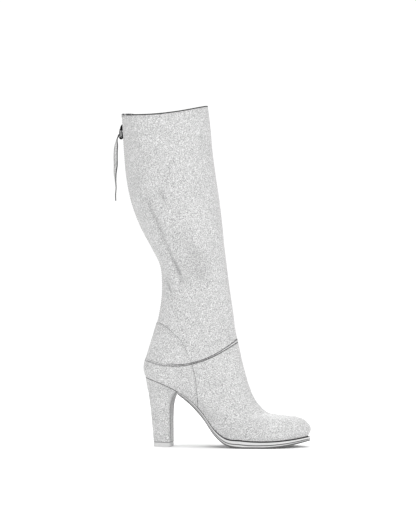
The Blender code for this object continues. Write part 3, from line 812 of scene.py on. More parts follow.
def new_material(name, roughness, metallic=0.0, coordinates="Object"):
    """A material with its shader's constant sockets set, and the place that its patterns are read at."""
    made = bpy.data.materials.new(name)
    made.use_nodes = True
    tree = made.node_tree
    shader = tree.nodes["Principled BSDF"]
    shader.inputs["Roughness"].default_value = roughness
    shader.inputs["Metallic"].default_value = metallic
    return made, tree, shader, add_node(tree, "ShaderNodeTexCoord").outputs[coordinates]


def finished(made, colour, height, bump_depth, bump_strength):
    """The material with its colour and a bump of a depth in millimetres linked to its shader."""
    tree = made.node_tree
    shader = tree.nodes["Principled BSDF"]
    inputs = {"Strength": bump_strength, "Distance": bump_depth * MM, "Height": height}
    bump = add_node(tree, "ShaderNodeBump", inputs=inputs)
    tree.links.new(colour, shader.inputs["Base Color"])
    tree.links.new(bump.outputs["Normal"], shader.inputs["Normal"])
    return made


def edge_shade(tree):
    """The darkness that a piece's points carry: ink on edges, and painted shade in seams, joints, folds and
    patches.
    """
    return add_node(tree, "ShaderNodeAttribute", {"attribute_name": "shade"}).outputs["Fac"]


def calf_leather(name, pale, dark, seam, grain):
    """Grained calf leather, drummed and matt finished: pebbles with paler tops, soft mottling, and the seam
    colour for inked edges and for painted shade in seams, joints, folds and patches.
    """
    made, tree, shader, place = new_material(name, 0.6)
    shader.inputs["Specular IOR Level"].default_value = 0.25
    shader.inputs["Coat Weight"].default_value = 0.1
    shader.inputs["Coat Roughness"].default_value = 0.35
    speckle = noise(tree, place, grain / 0.95, 1.0, 0.75)[0]
    mottle = noise(tree, place, 26.0, 3.0, 0.6)[0]
    # Pebbles lie on a wavering place, so that the valleys between them bend
    waver = noise(tree, place, grain / 0.6, 1.0)["Color"]
    inputs = {0: waver, 1: [1.4 * grain * MM] * 3, 2: place}
    bent = add_node(tree, "ShaderNodeVectorMath", {"operation": "MULTIPLY_ADD"}, inputs).outputs[0]
    settings, inputs = {"feature": "DISTANCE_TO_EDGE"}, {"Vector": bent, "Scale": 1 / (grain * MM)}
    pebble = add_node(tree, "ShaderNodeTexVoronoi", settings, inputs).outputs["Distance"]
    inputs = {0: ranged(tree, pebble, 0.0, 0.3, 0.4, 0.0), 1: ranged(tree, speckle, 0.39, 0.64, 0.0, 0.84)}
    spots = add_node(tree, "ShaderNodeMath", {"operation": "ADD", "use_clamp": True}, inputs).outputs[0]
    grained = mixed(tree, spots, toned(pale), toned(dark))
    clouded = mixed(tree, ranged(tree, mottle, 0.42, 0.72, 0.0, 0.14), grained, toned(dark))
    # Over the shade attribute the seam colour gives inked edges and painted shade in seams, joints, folds and
    # patches
    dyed_and_shaded = mixed(tree, edge_shade(tree), clouded, toned(seam))
    tree.links.new(ranged(tree, speckle, 0.0, 1.0, 0.42, 0.62), shader.inputs["Roughness"])
    return finished(made, dyed_and_shaded, ranged(tree, pebble, 0.0, 0.35, 0.0, 1.0, "SMOOTHSTEP"), 0.14, 0.8)


def lining_leather(name, pale):
    """Pigskin lining, sueded: matt, with pores in loose groups."""
    made, tree, _, place = new_material(name, 0.8)
    inputs = {"Vector": place, "Scale": 1 / (2.2 * MM)}
    pores = add_node(tree, "ShaderNodeTexVoronoi", inputs=inputs).outputs["Distance"]
    worn = mixed(tree, noise(tree, place, 6.0, 4.0)[0], toned(pale), toned(pale, 0.72))
    hole = ranged(tree, pores, 0.0, 0.28, 1.0, 0.0)
    pitted = mixed(tree, hole, worn, (0.6, 0.58, 0.55, 1.0), "MULTIPLY")
    return finished(made, pitted, pores, 0.2, 0.3)


def painted_edge(name, colour, roughness, layer):
    """Painted sole or leather edge, brushed on over sanded layers: satin, with faint lines along the edge."""
    made, tree, _, place = new_material(name, roughness)
    scuffs = ranged(tree, noise(tree, place, 5.0, 5.0, 0.7)[0], 0.5, 0.75, 0.0, 0.35)
    streaked = mixed(tree, scuffs, toned(colour), toned(colour, 0.7))
    # Over the shade attribute a near black gives inked leather rims, painted shade at the sole's joints and a
    # painted contact shadow along the outsole's foot
    dyed_and_shaded = mixed(tree, edge_shade(tree), streaked, toned(colour, 0.12))
    return finished(made, dyed_and_shaded, bands(tree, place, layer, "Z", 1.5), 0.08, 0.3)


def sole_rubber(name, colour):
    """Moulded rubber, lightly ribbed against slipping: matt, with dusty patches."""
    made, tree, _, place = new_material(name, 0.75)
    dusty = mixed(tree, noise(tree, place, 9.0, 5.0, 0.65)[0], toned(colour, 0.8), toned(colour))
    return finished(made, dusty, bands(tree, place, 1.6, "X", 0.4), 0.15, 0.35)


def plated_metal(name, colour):
    """Cast zinc with a dark nickel plating: a metal with soft reflections, worn brighter in specks."""
    made, tree, shader, place = new_material(name, 0.36, 1.0)
    wear = noise(tree, place, 1.2, 4.0, 0.7)[0]
    worn = mixed(tree, ranged(tree, wear, 0.52, 0.8, 0.0, 0.6), toned(colour), toned(colour, 2.5))
    tree.links.new(ranged(tree, wear, 0.0, 1.0, 0.28, 0.45), shader.inputs["Roughness"])
    return finished(made, worn, wear, 0.04, 0.2)


def woven_tape(name, colour):
    """Woven polyester zip tape: matt, with a herringbone of fine yarns read along the tape's own map."""
    made, tree, _, place = new_material(name, 0.85, coordinates="UV")
    yarns = {i: bands(tree, place, 0.7, direction, 0.3) for i, direction in enumerate(("X", "DIAGONAL"))}
    weave = add_node(tree, "ShaderNodeMath", {"operation": "MULTIPLY"}, yarns).outputs[0]
    return finished(made, mixed(tree, weave, toned(colour, 0.55), toned(colour)), weave, 0.15, 0.5)


def sewing_thread(name, colour):
    """Bonded polyester thread: slight sheen, with the twist of its plies."""
    made, tree, _, place = new_material(name, 0.55)
    plies = bands(tree, place, 0.5, "DIAGONAL")
    return finished(made, mixed(tree, plies, toned(colour, 0.6), toned(colour)), plies, 0.08, 0.4)


def backdrop_paper(name, colour):
    """Matt paper roll: even and pale, with a faint tooth."""
    made, tree, _, place = new_material(name, 0.95)
    tooth = noise(tree, place, 3.0, 2.0)[0]
    return finished(made, mixed(tree, tooth, toned(colour), toned(colour, 0.985)), tooth, 0.05, 0.1)


def shared(name, make, *values):
    """A material that several pieces share, made the first time that it is asked for."""
    return bpy.data.materials.get(name) or make(name, *values)


def boot_leather(scene):
    dyes = scene.boot_colours
    return shared("calf_leather", calf_leather, dyes.leather, dyes.grain, dyes.seam, mm(scene, "grain"))


def lining(scene):
    return shared("pigskin_lining", lining_leather, scene.boot_colours.lining)


def dyed_edge(scene):
    return shared("dyed_leather_edge", painted_edge, scene.boot_colours.seam, 0.5, 0.5)


def zip_metal(scene):
    return shared("dark_nickel_plating", plated_metal, scene.boot_colours.metal)


def tread(scene):
    return shared("moulded_sole_rubber", sole_rubber, scene.boot_colours.tread)


# Pieces


def piping_half(angle):
    return table_at(PIPING, "angle", "half", from_back(angle))


def side_seam(rise):
    return np.radians(table_at(SIDE_SEAM, "at", "angle", rise))


def counter_top(angle):
    return table_at(COUNTER, "angle", "at", from_back(angle))


def overlay_lift(angle, overlay):
    """How far the heel quarter and the counter raise the surface beside the ankle seam."""
    return overlay * (1 - ease(*OVERLAY_ENDS, from_back(angle)))


def groove_shade(angle, distance):
    """Painted shade in the grooves beside the ankle piping: full at its edge and gone in under two
    millimetres.
    """
    tone = table_at(PIPING, "angle", "tone", from_back(angle))
    edge = piping_half(angle) + 0.6 * tone
    return dye_and_shade(DyeAndShadeEdge(edge, edge + 0.8, tone), distance)


def build_foot(scene):
    """The vamp, from heel to toe under the quarter: the foot's surface with finer rows at both its edges."""
    around = np.linspace(0, 2 * math.pi, ROUND_COLUMNS + 1)
    angle, rise = np.meshgrid(around, crowded_steps(FOOT_ROWS, 0.85))
    grid = foot_surface(angle, rise)
    from_feather, from_seam = from_edges(grid, 0)
    shade = np.maximum(groove_shade(angle, from_seam), dye_and_shade(FEATHER_SHADE, from_feather))
    add_lined_leather(scene, new_mesh("vamp", grid, grid_quads(*angle.shape), {"shade": shade}), ["upper"])


def add_panel(scene, name, points, normals, edge, shade):
    """A panel laid on the leather: its edge dips below the leather and rounds up to its thickness."""
    overlay = mm(scene, "overlay")
    lift = np.where(edge <= 0, -0.5, overlay * quarter_round(edge, 1.2 * overlay))
    grid = points + normals * lift[..., None]
    add_leather(scene, new_mesh(name, grid, grid_quads(*edge.shape), {"shade": shade}))


def build_quarter(scene):
    """Panel round the heel between the two side seams, laid on the foot's surface."""
    spread = np.sin(np.linspace(-math.pi / 2, math.pi / 2, PANEL_COLUMNS))
    rises = crowded_steps(PANEL_ROWS, 0.8)
    angle = spread[None] * side_seam(rises)[:, None]
    points, normals = foot_normals(angle, np.broadcast_to(rises[:, None], angle.shape))
    edge = np.minimum(*from_edges(points, 1))
    from_feather, from_seam = from_edges(points, 0)
    shades = [dye_and_shade(QUARTER_EDGE, edge), groove_shade(angle, from_seam), dye_and_shade(FEATHER_SHADE, from_feather)]
    add_panel(scene, "heel_quarter", points, normals, edge, np.maximum.reduce(shades))


def build_shaft(scene):
    """Leather tube from the ankle seam to the collar, split for the zip, with its folds pressed in."""
    middle = np.linspace(SHAFT_LOW + EDGE_STEPS[-1], SHAFT_HIGH - EDGE_STEPS[-1], SHAFT_ROWS)
    heights = np.concatenate([SHAFT_LOW + EDGE_STEPS[:-1], middle, SHAFT_HIGH - EDGE_STEPS[-2::-1]])
    slot = angle_at(slot_half(heights), heights)[:, None]
    angle = slot + (2 * math.pi - 2 * slot) * np.linspace(0, 1, ROUND_COLUMNS + 1)
    points, normals = shaft_normals(angle, np.broadcast_to(heights[:, None], angle.shape))
    relief, tone = crease_relief(points, scene.boot_sizes.crease)
    from_seam, from_collar = from_edges(points, 0)
    # Painted shade in the ankle seam's grooves, the folds and the patches, and the collar's inked edge
    shades = [groove_shade(angle, from_seam), dye_and_shade(COLLAR_EDGE, from_collar), tone + patch_shade(points)]
    grid = points + normals * relief[..., None]
    mesh = new_mesh("shaft_leather", grid, grid_quads(*angle.shape), {"shade": np.maximum.reduce(shades)})
    add_lined_leather(scene, mesh, ["shaft"])


def build_counter(scene):
    """Panel over the heel's back above the ankle seam, under an arched top edge, laid on the shaft."""
    spread = np.sin(np.linspace(-math.pi / 2, math.pi / 2, PANEL_COLUMNS))
    angle, share = np.meshgrid(math.radians(COUNTER[-1].angle) * spread, np.linspace(0, 1, PANEL_ROWS))
    height = SHAFT_LOW + (counter_top(angle) - SHAFT_LOW) * np.sin(share * math.pi / 2)
    points, normals = shaft_normals(angle, height)
    from_seam, edge = from_edges(points, 0)
    shade = np.maximum(dye_and_shade(COUNTER_EDGE, edge), groove_shade(angle, from_seam))
    add_panel(scene, "heel_counter", points, normals, edge, shade)


def seam_frame(angle):
    """Points of the ankle seam with its directions up across the seam and out of the leather."""
    row = SHAFT[0]._asdict()
    above = shaft_surface(angle, np.full_like(angle, SHAFT_LOW + 2.0))
    below = foot_surface(angle, np.full_like(angle, 0.97))
    along = section_point(row, angle + SMALL_STEP) - section_point(row, angle - SMALL_STEP)
    up = unit(above - below)
    return section_point(row, angle), up, unit(np.cross(along, up))


def build_piping(scene):
    """Leather piping in the ankle seam: a half-round section carried along it, wider at the front."""
    angle = np.linspace(0, 2 * math.pi, 2 * ROUND_COLUMNS, False)
    turn = np.linspace(-0.12 * math.pi, 1.12 * math.pi, 14)
    half = piping_half(angle)[:, None]
    lift = overlay_lift(angle, mm(scene, "overlay"))[:, None]
    profile = np.stack([half * np.cos(turn), lift + mm(scene, "piping") * np.sin(turn)], -1)
    grid = sweep(*seam_frame(angle), profile).transpose(1, 0, 2)[::-1]
    # Painted shade on the piping's sides, where they meet the leather
    shade = np.broadcast_to(0.5 * np.abs(np.cos(turn[::-1, None])) ** 6, grid.shape[:2])
    mesh = new_mesh("ankle_piping", grid, grid_quads(*shade.shape, closed=True), {"shade": shade})
    add_leather(scene, mesh)


def stitch_row(path, normals, spacing, thread):
    """Sizes, centres and axes of stitches along a path on the leather: each lies along it, half sunk."""
    places = resample(path, spacing)
    along = unit(read_at(np.gradient(path, axis=0), places))
    out = unit(read_at(normals, places))
    sizes = np.broadcast_to([STITCH_SHARE * spacing, thread, thread], (len(places), 3))
    return sizes, read_at(path, places), np.stack([along, np.cross(out, along), out], 1)


def seam_paths(scene):
    """Lines that the stitches follow, with their normals: at ankle seam, quarter, counter and zip."""
    overlay = mm(scene, "overlay")
    angle = np.linspace(0, 2 * math.pi, 400)
    step = foot_surface(angle, np.ones_like(angle)) - foot_surface(angle, np.full_like(angle, 0.98))
    below = 0.02 * (piping_half(angle) + ANKLE_STITCH_INSET) / np.linalg.norm(step, axis=-1)
    points, normals = foot_normals(angle, 1 - below)
    paths = [(points + normals * overlay_lift(angle, overlay)[:, None], normals)]
    rise = np.linspace(0.05, 0.96, 80)
    for side in (OUTER, INNER):
        points, normals = foot_normals(side * (side_seam(rise) - math.radians(SIDE_STITCH_TURN)), rise)
        paths.append((points + normals * overlay, normals))
    arch = np.radians(np.linspace(-90, 90, 240))
    across = np.stack([arch * COUNTER_GIRTH, counter_top(arch)], -1)
    inward = unit(np.gradient(across, axis=0)) @ np.array([[0.0, -1.0], [1.0, 0.0]])
    inset = across + inward * STITCH_INSET
    points, normals = shaft_normals(inset[:, 0] / COUNTER_GIRTH, np.maximum(inset[:, 1], SHAFT_LOW + 1.5))
    paths.append((points + normals * overlay, normals))
    heights = np.linspace(ZIP_FOOT_Z + 2, SHAFT_HIGH - 8, 200)
    for side in (OUTER, INNER):
        beside = side * angle_at(slot_half(heights) + ZIP_STITCH_INSET, heights)
        points, normals = shaft_normals(beside, heights)
        relief, _ = crease_relief(points, scene.boot_sizes.crease)
        paths.append((points + normals * relief[:, None], normals))
    return paths


def build_stitches(scene):
    """All the stitches as one mesh of small capsules, one for each stitch."""
    spacing, thread = mm(scene, "stitch"), mm(scene, "thread")
    rows = [stitch_row(path, normals, spacing, thread) for path, normals in seam_paths(scene)]
    mesh = blocks_mesh("stitches", rounded_block(5, 8, 0.8, 1.0), rows)
    add_piece(mesh, [sewing_thread("polyester_thread", scene.boot_colours.thread)], BOOT)


def tack_row(first, last, side):
    """Sizes, centres and axes of a bar tack's upright stitches, side by side over the collar's edge."""
    angle = np.radians(np.linspace(first, last, int((last - first) / TACK_STEP) + 1)) * side
    points, normals = shaft_normals(angle, np.full_like(angle, SHAFT_HIGH - TACK_DOWN))
    up = np.broadcast_to([0.0, 0.0, 1.0], points.shape)
    aside = unit(np.cross(normals, up))
    sizes = np.broadcast_to(TACK_SIZE, points.shape)
    return sizes, points + normals * TACK_OUT, np.stack([up, aside, np.cross(up, aside)], 1)


def build_zip_ends(scene):
    """Leather tabs folded over the collar at both sides of the zip, over its tape's ends, with bar tacks.

    The tab's section runs up the outer face, over the collar and down the inside. It is carried round the
    collar, and thins at its two ends.
    """
    start = math.degrees(float(angle_at(SLOT_HALF_TOP, SHAFT_HIGH)))
    spread = start + (ZIP_TAB[-1].angle - start) * cosine_steps(48)
    drop = table_at(ZIP_TAB, "angle", "at", spread)[:, None]
    up = column(TAB_SECTION, "up") - drop * column(TAB_SECTION, "hem")
    for name, side in (("zip_tab_outer", OUTER), ("zip_tab_inner", INNER)):
        angle = np.broadcast_to(np.radians(spread)[:, None] * side, up.shape)
        points, normals = shaft_normals(angle, SHAFT_HIGH + np.minimum(up, 0))
        end = np.minimum(*from_edges(points, 0))
        thin = 0.4 + 0.6 * quarter_round(end, 1.0)
        out = (column(TAB_SECTION, "out") + WALL / 2) * thin - WALL / 2
        grid = points + normals * out[..., None]
        grid[..., 2] += np.maximum(up, 0) * thin
        shades = [dye_and_shade(TAB_HEM, up + drop), dye_and_shade(TAB_END, end), 0.9 * ease(-1.2, -0.4, up)]
        shade = np.maximum.reduce(shades)[:, ::-side]
        add_leather(scene, new_mesh(name, grid[:, ::-side], grid_quads(*up.shape), {"shade": shade}))
    rows = [tack_row(first, last, side) for side in (OUTER, INNER) for first, last in ZIP_TACKS]
    mesh = blocks_mesh("zip_bar_tacks", rounded_block(7, 8, 0.8, 1.0), rows)
    add_piece(mesh, [sewing_thread("dark_polyester_thread", scene.boot_colours.tape)], BOOT)


def sole_outline():
    """Plan of the sole from the heel's breast to the toe, as x, half width and centre line."""
    toe_x = FEATHER[-1].x + SOLE[-1].ledge
    x = along_foot(np.linspace(0, math.pi, 141))
    reach = (toe_x - TOE_STRETCH_X) / (FEATHER[-1].x - TOE_STRETCH_X)
    x = np.where(x > TOE_STRETCH_X, TOE_STRETCH_X + (x - TOE_STRETCH_X) * reach, x)
    x = np.concatenate([[BREAST_X + GAP], x[x > BREAST_X + GAP + 0.5]])
    in_table = np.clip(x, BREAST_X, SOLE[-1].x)
    full = table_at(FEATHER, "x", "half", in_table) + table_at(SOLE, "x", "ledge", in_table)
    half = full * end_round(toe_x - x, TOE_ROUND + SOLE[-1].ledge, TOE_POWER)
    return x, in_table, half, table_at(FEATHER, "x", "centre", in_table)


def layer_rings(x, half, centre, low, high, rounding, foot_shade):
    """Rings of a sole layer from its underside up: the outline, drawn in as a superellipse at its edges.

    It carries painted shade along its top edge, and the given painted shade along its bottom edge: a painted
    contact shadow for the outsole.
    """
    plan = np.concatenate([np.stack([x, centre - half], -1), np.stack([x, centre + half], -1)[::-1]])
    along = unit(np.gradient(plan, axis=0))
    outward = np.stack([along[:, 1], -along[:, 0]], -1)
    low, high = (np.concatenate([z, z[::-1]]) for z in (low, high))
    share = cosine_steps(25)
    inset = rounding * (1 - (1 - np.abs(2 * share - 1) ** 5) ** 0.2)
    flat = plan[None] - outward[None] * inset[:, None, None]
    z = low + (high - low) * share[:, None]
    thin = np.minimum((high - low) / 3.5, 1.0)
    shade = np.maximum(dye_and_shade(SOLE_TOP_SHADE, (high - z) / thin), dye_and_shade(foot_shade, (z - low) / thin))
    return np.concatenate([flat, z[..., None]], -1), shade


def build_sole(scene):
    """Midsole and outsole, with rounded edges, from the heel's breast to the toe."""
    x, in_table, half, centre = sole_outline()
    top = feather_z(in_table) - GAP
    joint = top - table_at(SOLE, "x", "midsole", in_table)
    floor = np.maximum(joint - GAP - table_at(SOLE, "x", "outsole", in_table), 0.0)
    edge = painted_edge("painted_sole_edge", scene.boot_colours.sole, 0.42, 1.1)
    for name, node, low, high, foot_shade, slot in (
        ("midsole_platform", "midsole", joint, top, MIDSOLE_FOOT_SHADE, "sole_edge"),
        ("outsole_layer", "outsole", floor, joint - GAP, OUTSOLE_FOOT_SHADOW, "sole_rubber"),
    ):
        rings, shade = layer_rings(x, half, centre, low, high, mm(scene, "sole_round"), foot_shade)
        made = add_piece(loft_mesh(name, rings, {"shade": shade}), [edge], BOOT, [node])
    # The faces of the outsole that look down are its tread
    made.data.materials.append(tread(scene))
    normals = np.empty(len(made.data.polygons) * 3, np.float32)
    made.data.polygons.foreach_get("normal", normals)
    made.data.polygons.foreach_set("material_index", (normals[2::3] < -0.8).astype(np.int32))


def heel_ring(back_x, breast_x, half, skew):
    """Plan of the heel as a closed ring: a superellipse behind, small round corners and a flat breast.

    Skew moves its points forwards by their distance to the inner side, which turns the breast.
    """
    share = cosine_steps(HEEL_SIDE)
    from_breast = 1 - share + HEEL_CORNER_CUT * HEEL_CORNER_ROUND
    width = end_round(share, HEEL_BACK_ROUND) * end_round(from_breast, HEEL_CORNER_ROUND)
    x = back_x + (breast_x - back_x) * share
    across = np.linspace(-half * width[-1], 0, HEEL_BREAST)[1:]
    breast = np.stack([np.full_like(across, breast_x), across], -1)
    side = np.concatenate([np.stack([x, -half * width], -1), breast])
    plan = np.concatenate([side, (side * [1, -1])[::-1]])
    plan[:, 0] += skew * plan[:, 1]
    return plan


def build_heel(scene):
    """Leather-covered block, as plan rings carried from toplift to heel seat, and the toplift below."""
    rises = cosine_steps(60)
    rows = np.stack([table_at(HEEL, "rise", name, rises) for name in HeelRow._fields[2:]], -1)
    plans = np.stack([heel_ring(*row) for row in rows])
    seat_z = feather_z(np.maximum(plans[-1, :, 0], FEATHER[0].x)) - GAP
    foot_z = TOPLIFT_HEIGHT + GAP
    z = foot_z + (seat_z - foot_z) * rises[:, None]
    rings = np.concatenate([plans, z[..., None]], -1)
    run = run_length(rings, 1)
    corner = np.minimum(np.abs(run - run[:, [HEEL_SIDE - 1]]), np.abs(run - run[:, [-HEEL_SIDE]]))
    from_lift, from_seat = from_edges(rings, 0)
    shades = [dye_and_shade(HEEL_CORNER, corner), dye_and_shade(HEEL_FOOT, from_lift), dye_and_shade(HEEL_SEAT_SHADE, from_seat)]
    add_leather(scene, loft_mesh("heel_cover", rings, {"shade": np.maximum.reduce(shades)}), BOOT, ["heel"])
    share = cosine_steps(13)
    inset = LIFT_INSET + LIFT_ROUND * (1 - (1 - np.abs(2 * share - 1) ** 4) ** 0.25)
    foot = HEEL[0]
    lift = [
        np.insert(heel_ring(foot.back_x + d, foot.breast_x - d, foot.half - d, foot.skew), 2, h, 1)
        for d, h in zip(inset, share * TOPLIFT_HEIGHT)
    ]
    add_piece(loft_mesh("heel_toplift", lift), [tread(scene)], BOOT, ["toplift"])


def slider_axes():
    """Middle of the slider on the back line, with its directions out of the boot, across and up the zip."""
    points, _ = back_line(np.array([SLIDER_Z - 5.0, SLIDER_Z, SLIDER_Z + 5.0]))
    up = unit(points[2] - points[0])
    across = np.array([0.0, -1.0, 0.0])
    return points[1], np.stack([np.cross(across, up), across, up])


def pull_hinge():
    """Middle of the slider's bar, that the pull swings about."""
    middle, axes = slider_axes()
    return middle + np.array([SLIDER_CLEAR + SLIDER_PLATE + BAR_OUT, 0.0, -BAR_DOWN]) @ axes


def tooth_row(heights, aside, spacing):
    """Sizes, centres and axes of zip teeth at heights on the back line, each this far aside."""
    centre, out = back_line(heights, -TEETH_SINK - TEETH_THICK / 2)
    across = np.broadcast_to([0.0, 1.0, 0.0], centre.shape)
    sizes = np.broadcast_to([TEETH_THICK, TOOTH_LONG, TOOTH_SHARE * spacing], centre.shape)
    return sizes, centre + across * aside[:, None], np.stack([out, across, np.cross(out, across)], 1)


def build_teeth(scene):
    """Single zip teeth: two rows that mesh below the slider and part above it, with a stop at the foot."""
    spacing = mm(scene, "tooth")
    mouth = SLIDER_Z - SLIDER_TALL / 2 + 2.0
    row = np.arange(ZIP_FOOT_Z + TEETH_START, SHAFT[-1].back_z - TEETH_END, spacing * TOOTH_PITCH)
    rows = []
    for side in (OUTER, INNER):
        heights = row + 0.25 * spacing * side
        aside = np.where(heights > mouth, slot_half(heights) - 0.6 - TOOTH_LONG / 2, TOOTH_BITE)
        rows.append(tooth_row(heights, -side * aside, spacing))
    sizes, centres, axes = tooth_row(np.array([ZIP_FOOT_Z + STOP_START]), np.zeros(1), spacing)
    rows.append((sizes * STOP_SIZE, centres, axes))
    mesh = blocks_mesh("zip_chain", rounded_block(6, 10, 0.35, 0.3), rows)
    add_piece(mesh, [zip_metal(scene)], BOOT, ["zip_teeth", "zip_row_outer", "zip_row_inner"])


def build_tapes(scene):
    """Two woven tapes behind the zip's edges: a thin section carried up the back, from teeth to lining."""
    heights = np.linspace(ZIP_FOOT_Z + 3.0, SHAFT_HIGH - 0.6, 140)
    aside = slot_half(heights)[:, None] + np.concatenate([TAPE_ASIDE, TAPE_ASIDE[::-1]])
    depth = np.concatenate([TAPE_DEPTH - TAPE_HALF_THICK, TAPE_DEPTH[::-1] + TAPE_HALF_THICK])
    height = np.broadcast_to(heights[:, None], aside.shape)
    uv = np.stack([aside, height], -1) * MM
    tape = woven_tape("woven_zip_tape", scene.boot_colours.tape)
    for name, side in (("zip_tape_outer", OUTER), ("zip_tape_inner", INNER)):
        points, normals = shaft_normals(side * angle_at(np.maximum(aside, 0.1), height), height)
        grid = points - normals * depth[None, :, None]
        mesh = new_mesh(name, grid[:, ::side], grid_quads(*aside.shape, closed=True), uv=uv[:, ::side])
        add_piece(mesh, [tape], BOOT)


def build_slider(scene):
    """Slider of plates, post, lugs and bar, each a rounded block in the slider's own directions."""
    plate_out = SLIDER_CLEAR + SLIDER_PLATE / 2
    inner_out = -TEETH_SINK - TEETH_THICK - SLIDER_CLEAR - SLIDER_PLATE / 2
    lug_long = SLIDER_PLATE / 2 + BAR_OUT + 2 * BAR_R
    lug_out = plate_out + lug_long / 2
    lug_low, lug_high = -BAR_DOWN - LUG_TALL / 2, SLIDER_TALL / 2 - 0.3
    lug_size, lug_up = (lug_long, LUG_WIDE, lug_high - lug_low), (lug_low + lug_high) / 2
    bar_out = SLIDER_CLEAR + SLIDER_PLATE + BAR_OUT
    post_size = (plate_out - inner_out, SLIDER_POST_WIDE, SLIDER_POST_TALL)
    post_up = SLIDER_TALL / 2 - 1 - SLIDER_POST_TALL / 2
    blocks = [
        ((SLIDER_PLATE, SLIDER_WIDE, SLIDER_TALL), (plate_out, 0, 0)),
        ((SLIDER_PLATE, SLIDER_WIDE - 2, SLIDER_TALL - 2), (inner_out, 0, 0)),
        (post_size, ((plate_out + inner_out) / 2, 0, post_up)),
        (lug_size, (lug_out, LUG_APART / 2, lug_up)),
        (lug_size, (lug_out, -LUG_APART / 2, lug_up)),
        ((2 * BAR_R, LUG_APART, 2 * BAR_R), (bar_out, 0, -BAR_DOWN)),
    ]
    sizes, places = (np.array(values, float) for values in zip(*blocks))
    block = rounded_block(14, 28, 0.3, 0.35)
    points = placed_blocks(block, sizes, places, np.broadcast_to(np.eye(3), (len(sizes), 3, 3)))
    # Above the bar the lugs curve in to the plate
    lugs = points[3:5]
    rise = np.clip((lugs[..., 2] + BAR_DOWN - LUG_TALL / 2) / (lug_high + BAR_DOWN - LUG_TALL / 2), 0, 1)
    lost = 1 - (SLIDER_PLATE / 2 + LUG_TIP) / lug_long
    lugs[..., 0] = plate_out + (lugs[..., 0] - plate_out) * (1 - lost * rise**1.6)
    middle, axes = slider_axes()
    mesh = new_mesh("slider_body", middle + points @ axes, block_faces(block, len(sizes)))
    add_piece(mesh, [zip_metal(scene)], BOOT, ["zip_slider"])


def ring_line(count):
    """The pull ring's wire from its top: a small arc round the bar, straight sides and a wider arc below."""
    turn = np.linspace(0, math.pi, count)
    arc = np.stack([np.cos(turn), np.zeros(count), np.sin(turn)], -1)
    top = RING_TOP_R * arc
    end = np.array([RING_LEAN, 0.0, RING_FOOT_R + RING_END_R - RING_DROP]) - RING_END_R * arc
    straight = np.linspace(0, 1, 10)[1:-1, None]
    left = top[-1] + (end[0] - top[-1]) * straight
    right = end[-1] + (top[0] - end[-1]) * straight
    return np.concatenate([top, left, end, right])


def build_ring(scene):
    """Drop-shaped ring: a round section carried along a closed flat path, thicker at its lower end."""
    path = ring_line(24)
    along = unit(np.roll(path, -1, 0) - np.roll(path, 1, 0))
    side = np.broadcast_to([0.0, 1.0, 0.0], path.shape)
    turn = np.linspace(0, 2 * math.pi, 14, False)
    foot = path[:, 2].min()
    levels = [foot, foot + RING_END_R, -3.0, -0.8]
    wires = [RING_FOOT_R, RING_SIDE_R, 0.9 * RING_SIDE_R, RING_WIRE_R]
    wire = np.interp(path[:, 2], levels, wires)[:, None, None]
    profile = wire * np.stack([np.cos(turn), np.sin(turn)], -1)
    grid = pull_hinge() + sweep(path, side, np.cross(along, side), profile)
    rings = np.concatenate([grid, grid[:1]])
    mesh = new_mesh("ring_wire", rings, grid_quads(len(rings), len(turn), closed=True)[:, ::-1])
    add_piece(mesh, [zip_metal(scene)], PULL, ["pull_ring"])


def strip_path():
    """Centre line of the pull strip, with its directions across its width and through its thickness."""
    down = column(STRIP, "down")
    at = np.linspace(down[0], down[-1], 90)
    out, twist = (curve_through(down, column(STRIP, name), at) for name in ("out", "twist"))
    path = np.stack([-out, np.zeros_like(at), -at], -1)
    along = unit(np.gradient(path, axis=0))
    across = np.array([0.0, 1.0, 0.0])
    turn = np.radians(twist)[:, None]
    wide = unit(np.cross(across, along) * np.cos(turn) + across * np.sin(turn))
    return pull_hinge() + path, wide, np.cross(along, wide)


def flat_profile(wide, thick, count):
    """Section of a leather strip: a superellipse, nearly a rectangle."""
    turn = np.linspace(0, 2 * math.pi, count, False)
    return np.stack(
        [signed_power(np.cos(turn), 0.35) * wide / 2, signed_power(np.sin(turn), 0.5) * thick / 2], -1
    )


def build_strip(scene):
    """Leather strip that hangs from the ring and turns as it falls: a flat section along its line."""
    path, wide, thick = strip_path()
    profile = flat_profile(STRIP_WIDE, STRIP_THICK, 28)
    narrow = np.interp(np.linspace(0, 1, len(path)), [0, STRIP_TAPER, 1], [1, 1, STRIP_TIP])[:, None]
    sections = np.stack(np.broadcast_arrays(narrow * profile[:, 0], profile[:, 1]), -1)
    grid = sweep(path, wide, thick, sections)
    first, last = np.broadcast_to(grid[[0, -1]].mean(1, keepdims=True), (2, *grid.shape[1:]))
    rings = np.concatenate([first[None], grid, last[None]])
    edge = np.abs(profile[:, 0]) / (STRIP_WIDE / 2)
    shade = np.broadcast_to(0.95 * ease(0.55, 0.78, edge), rings.shape[:2])
    mesh = new_mesh("pull_strip", rings, grid_quads(*shade.shape, closed=True), {"shade": shade})
    made = add_leather(scene, mesh, PULL, ["pull_thong"])
    length = run_length(path, 0)[-1]


def build_strip_loop(scene):
    """Turn of the strip round the ring's outer wire: a flat section carried round a circle."""
    turn = np.linspace(0, 2 * math.pi, 40, False)
    spoke = np.stack([np.cos(turn), np.sin(turn), np.zeros_like(turn)], -1)
    path = pull_hinge() + np.array(LOOP_MIDDLE) + LOOP_R * spoke
    up = np.broadcast_to([0.0, 0.0, 1.0], path.shape)
    profile = flat_profile(LOOP_WIDE, LOOP_THICK, 20)
    grid = sweep(path, up, spoke, profile)
    rings = np.concatenate([grid, grid[:1]])
    shade = np.broadcast_to(0.9 * ease(0.5, 0.85, np.abs(profile[:, 0])), rings.shape[:2])
    mesh = new_mesh("strip_loop", rings, grid_quads(*shade.shape, closed=True), {"shade": shade})
    add_leather(scene, mesh, PULL)


# Stage


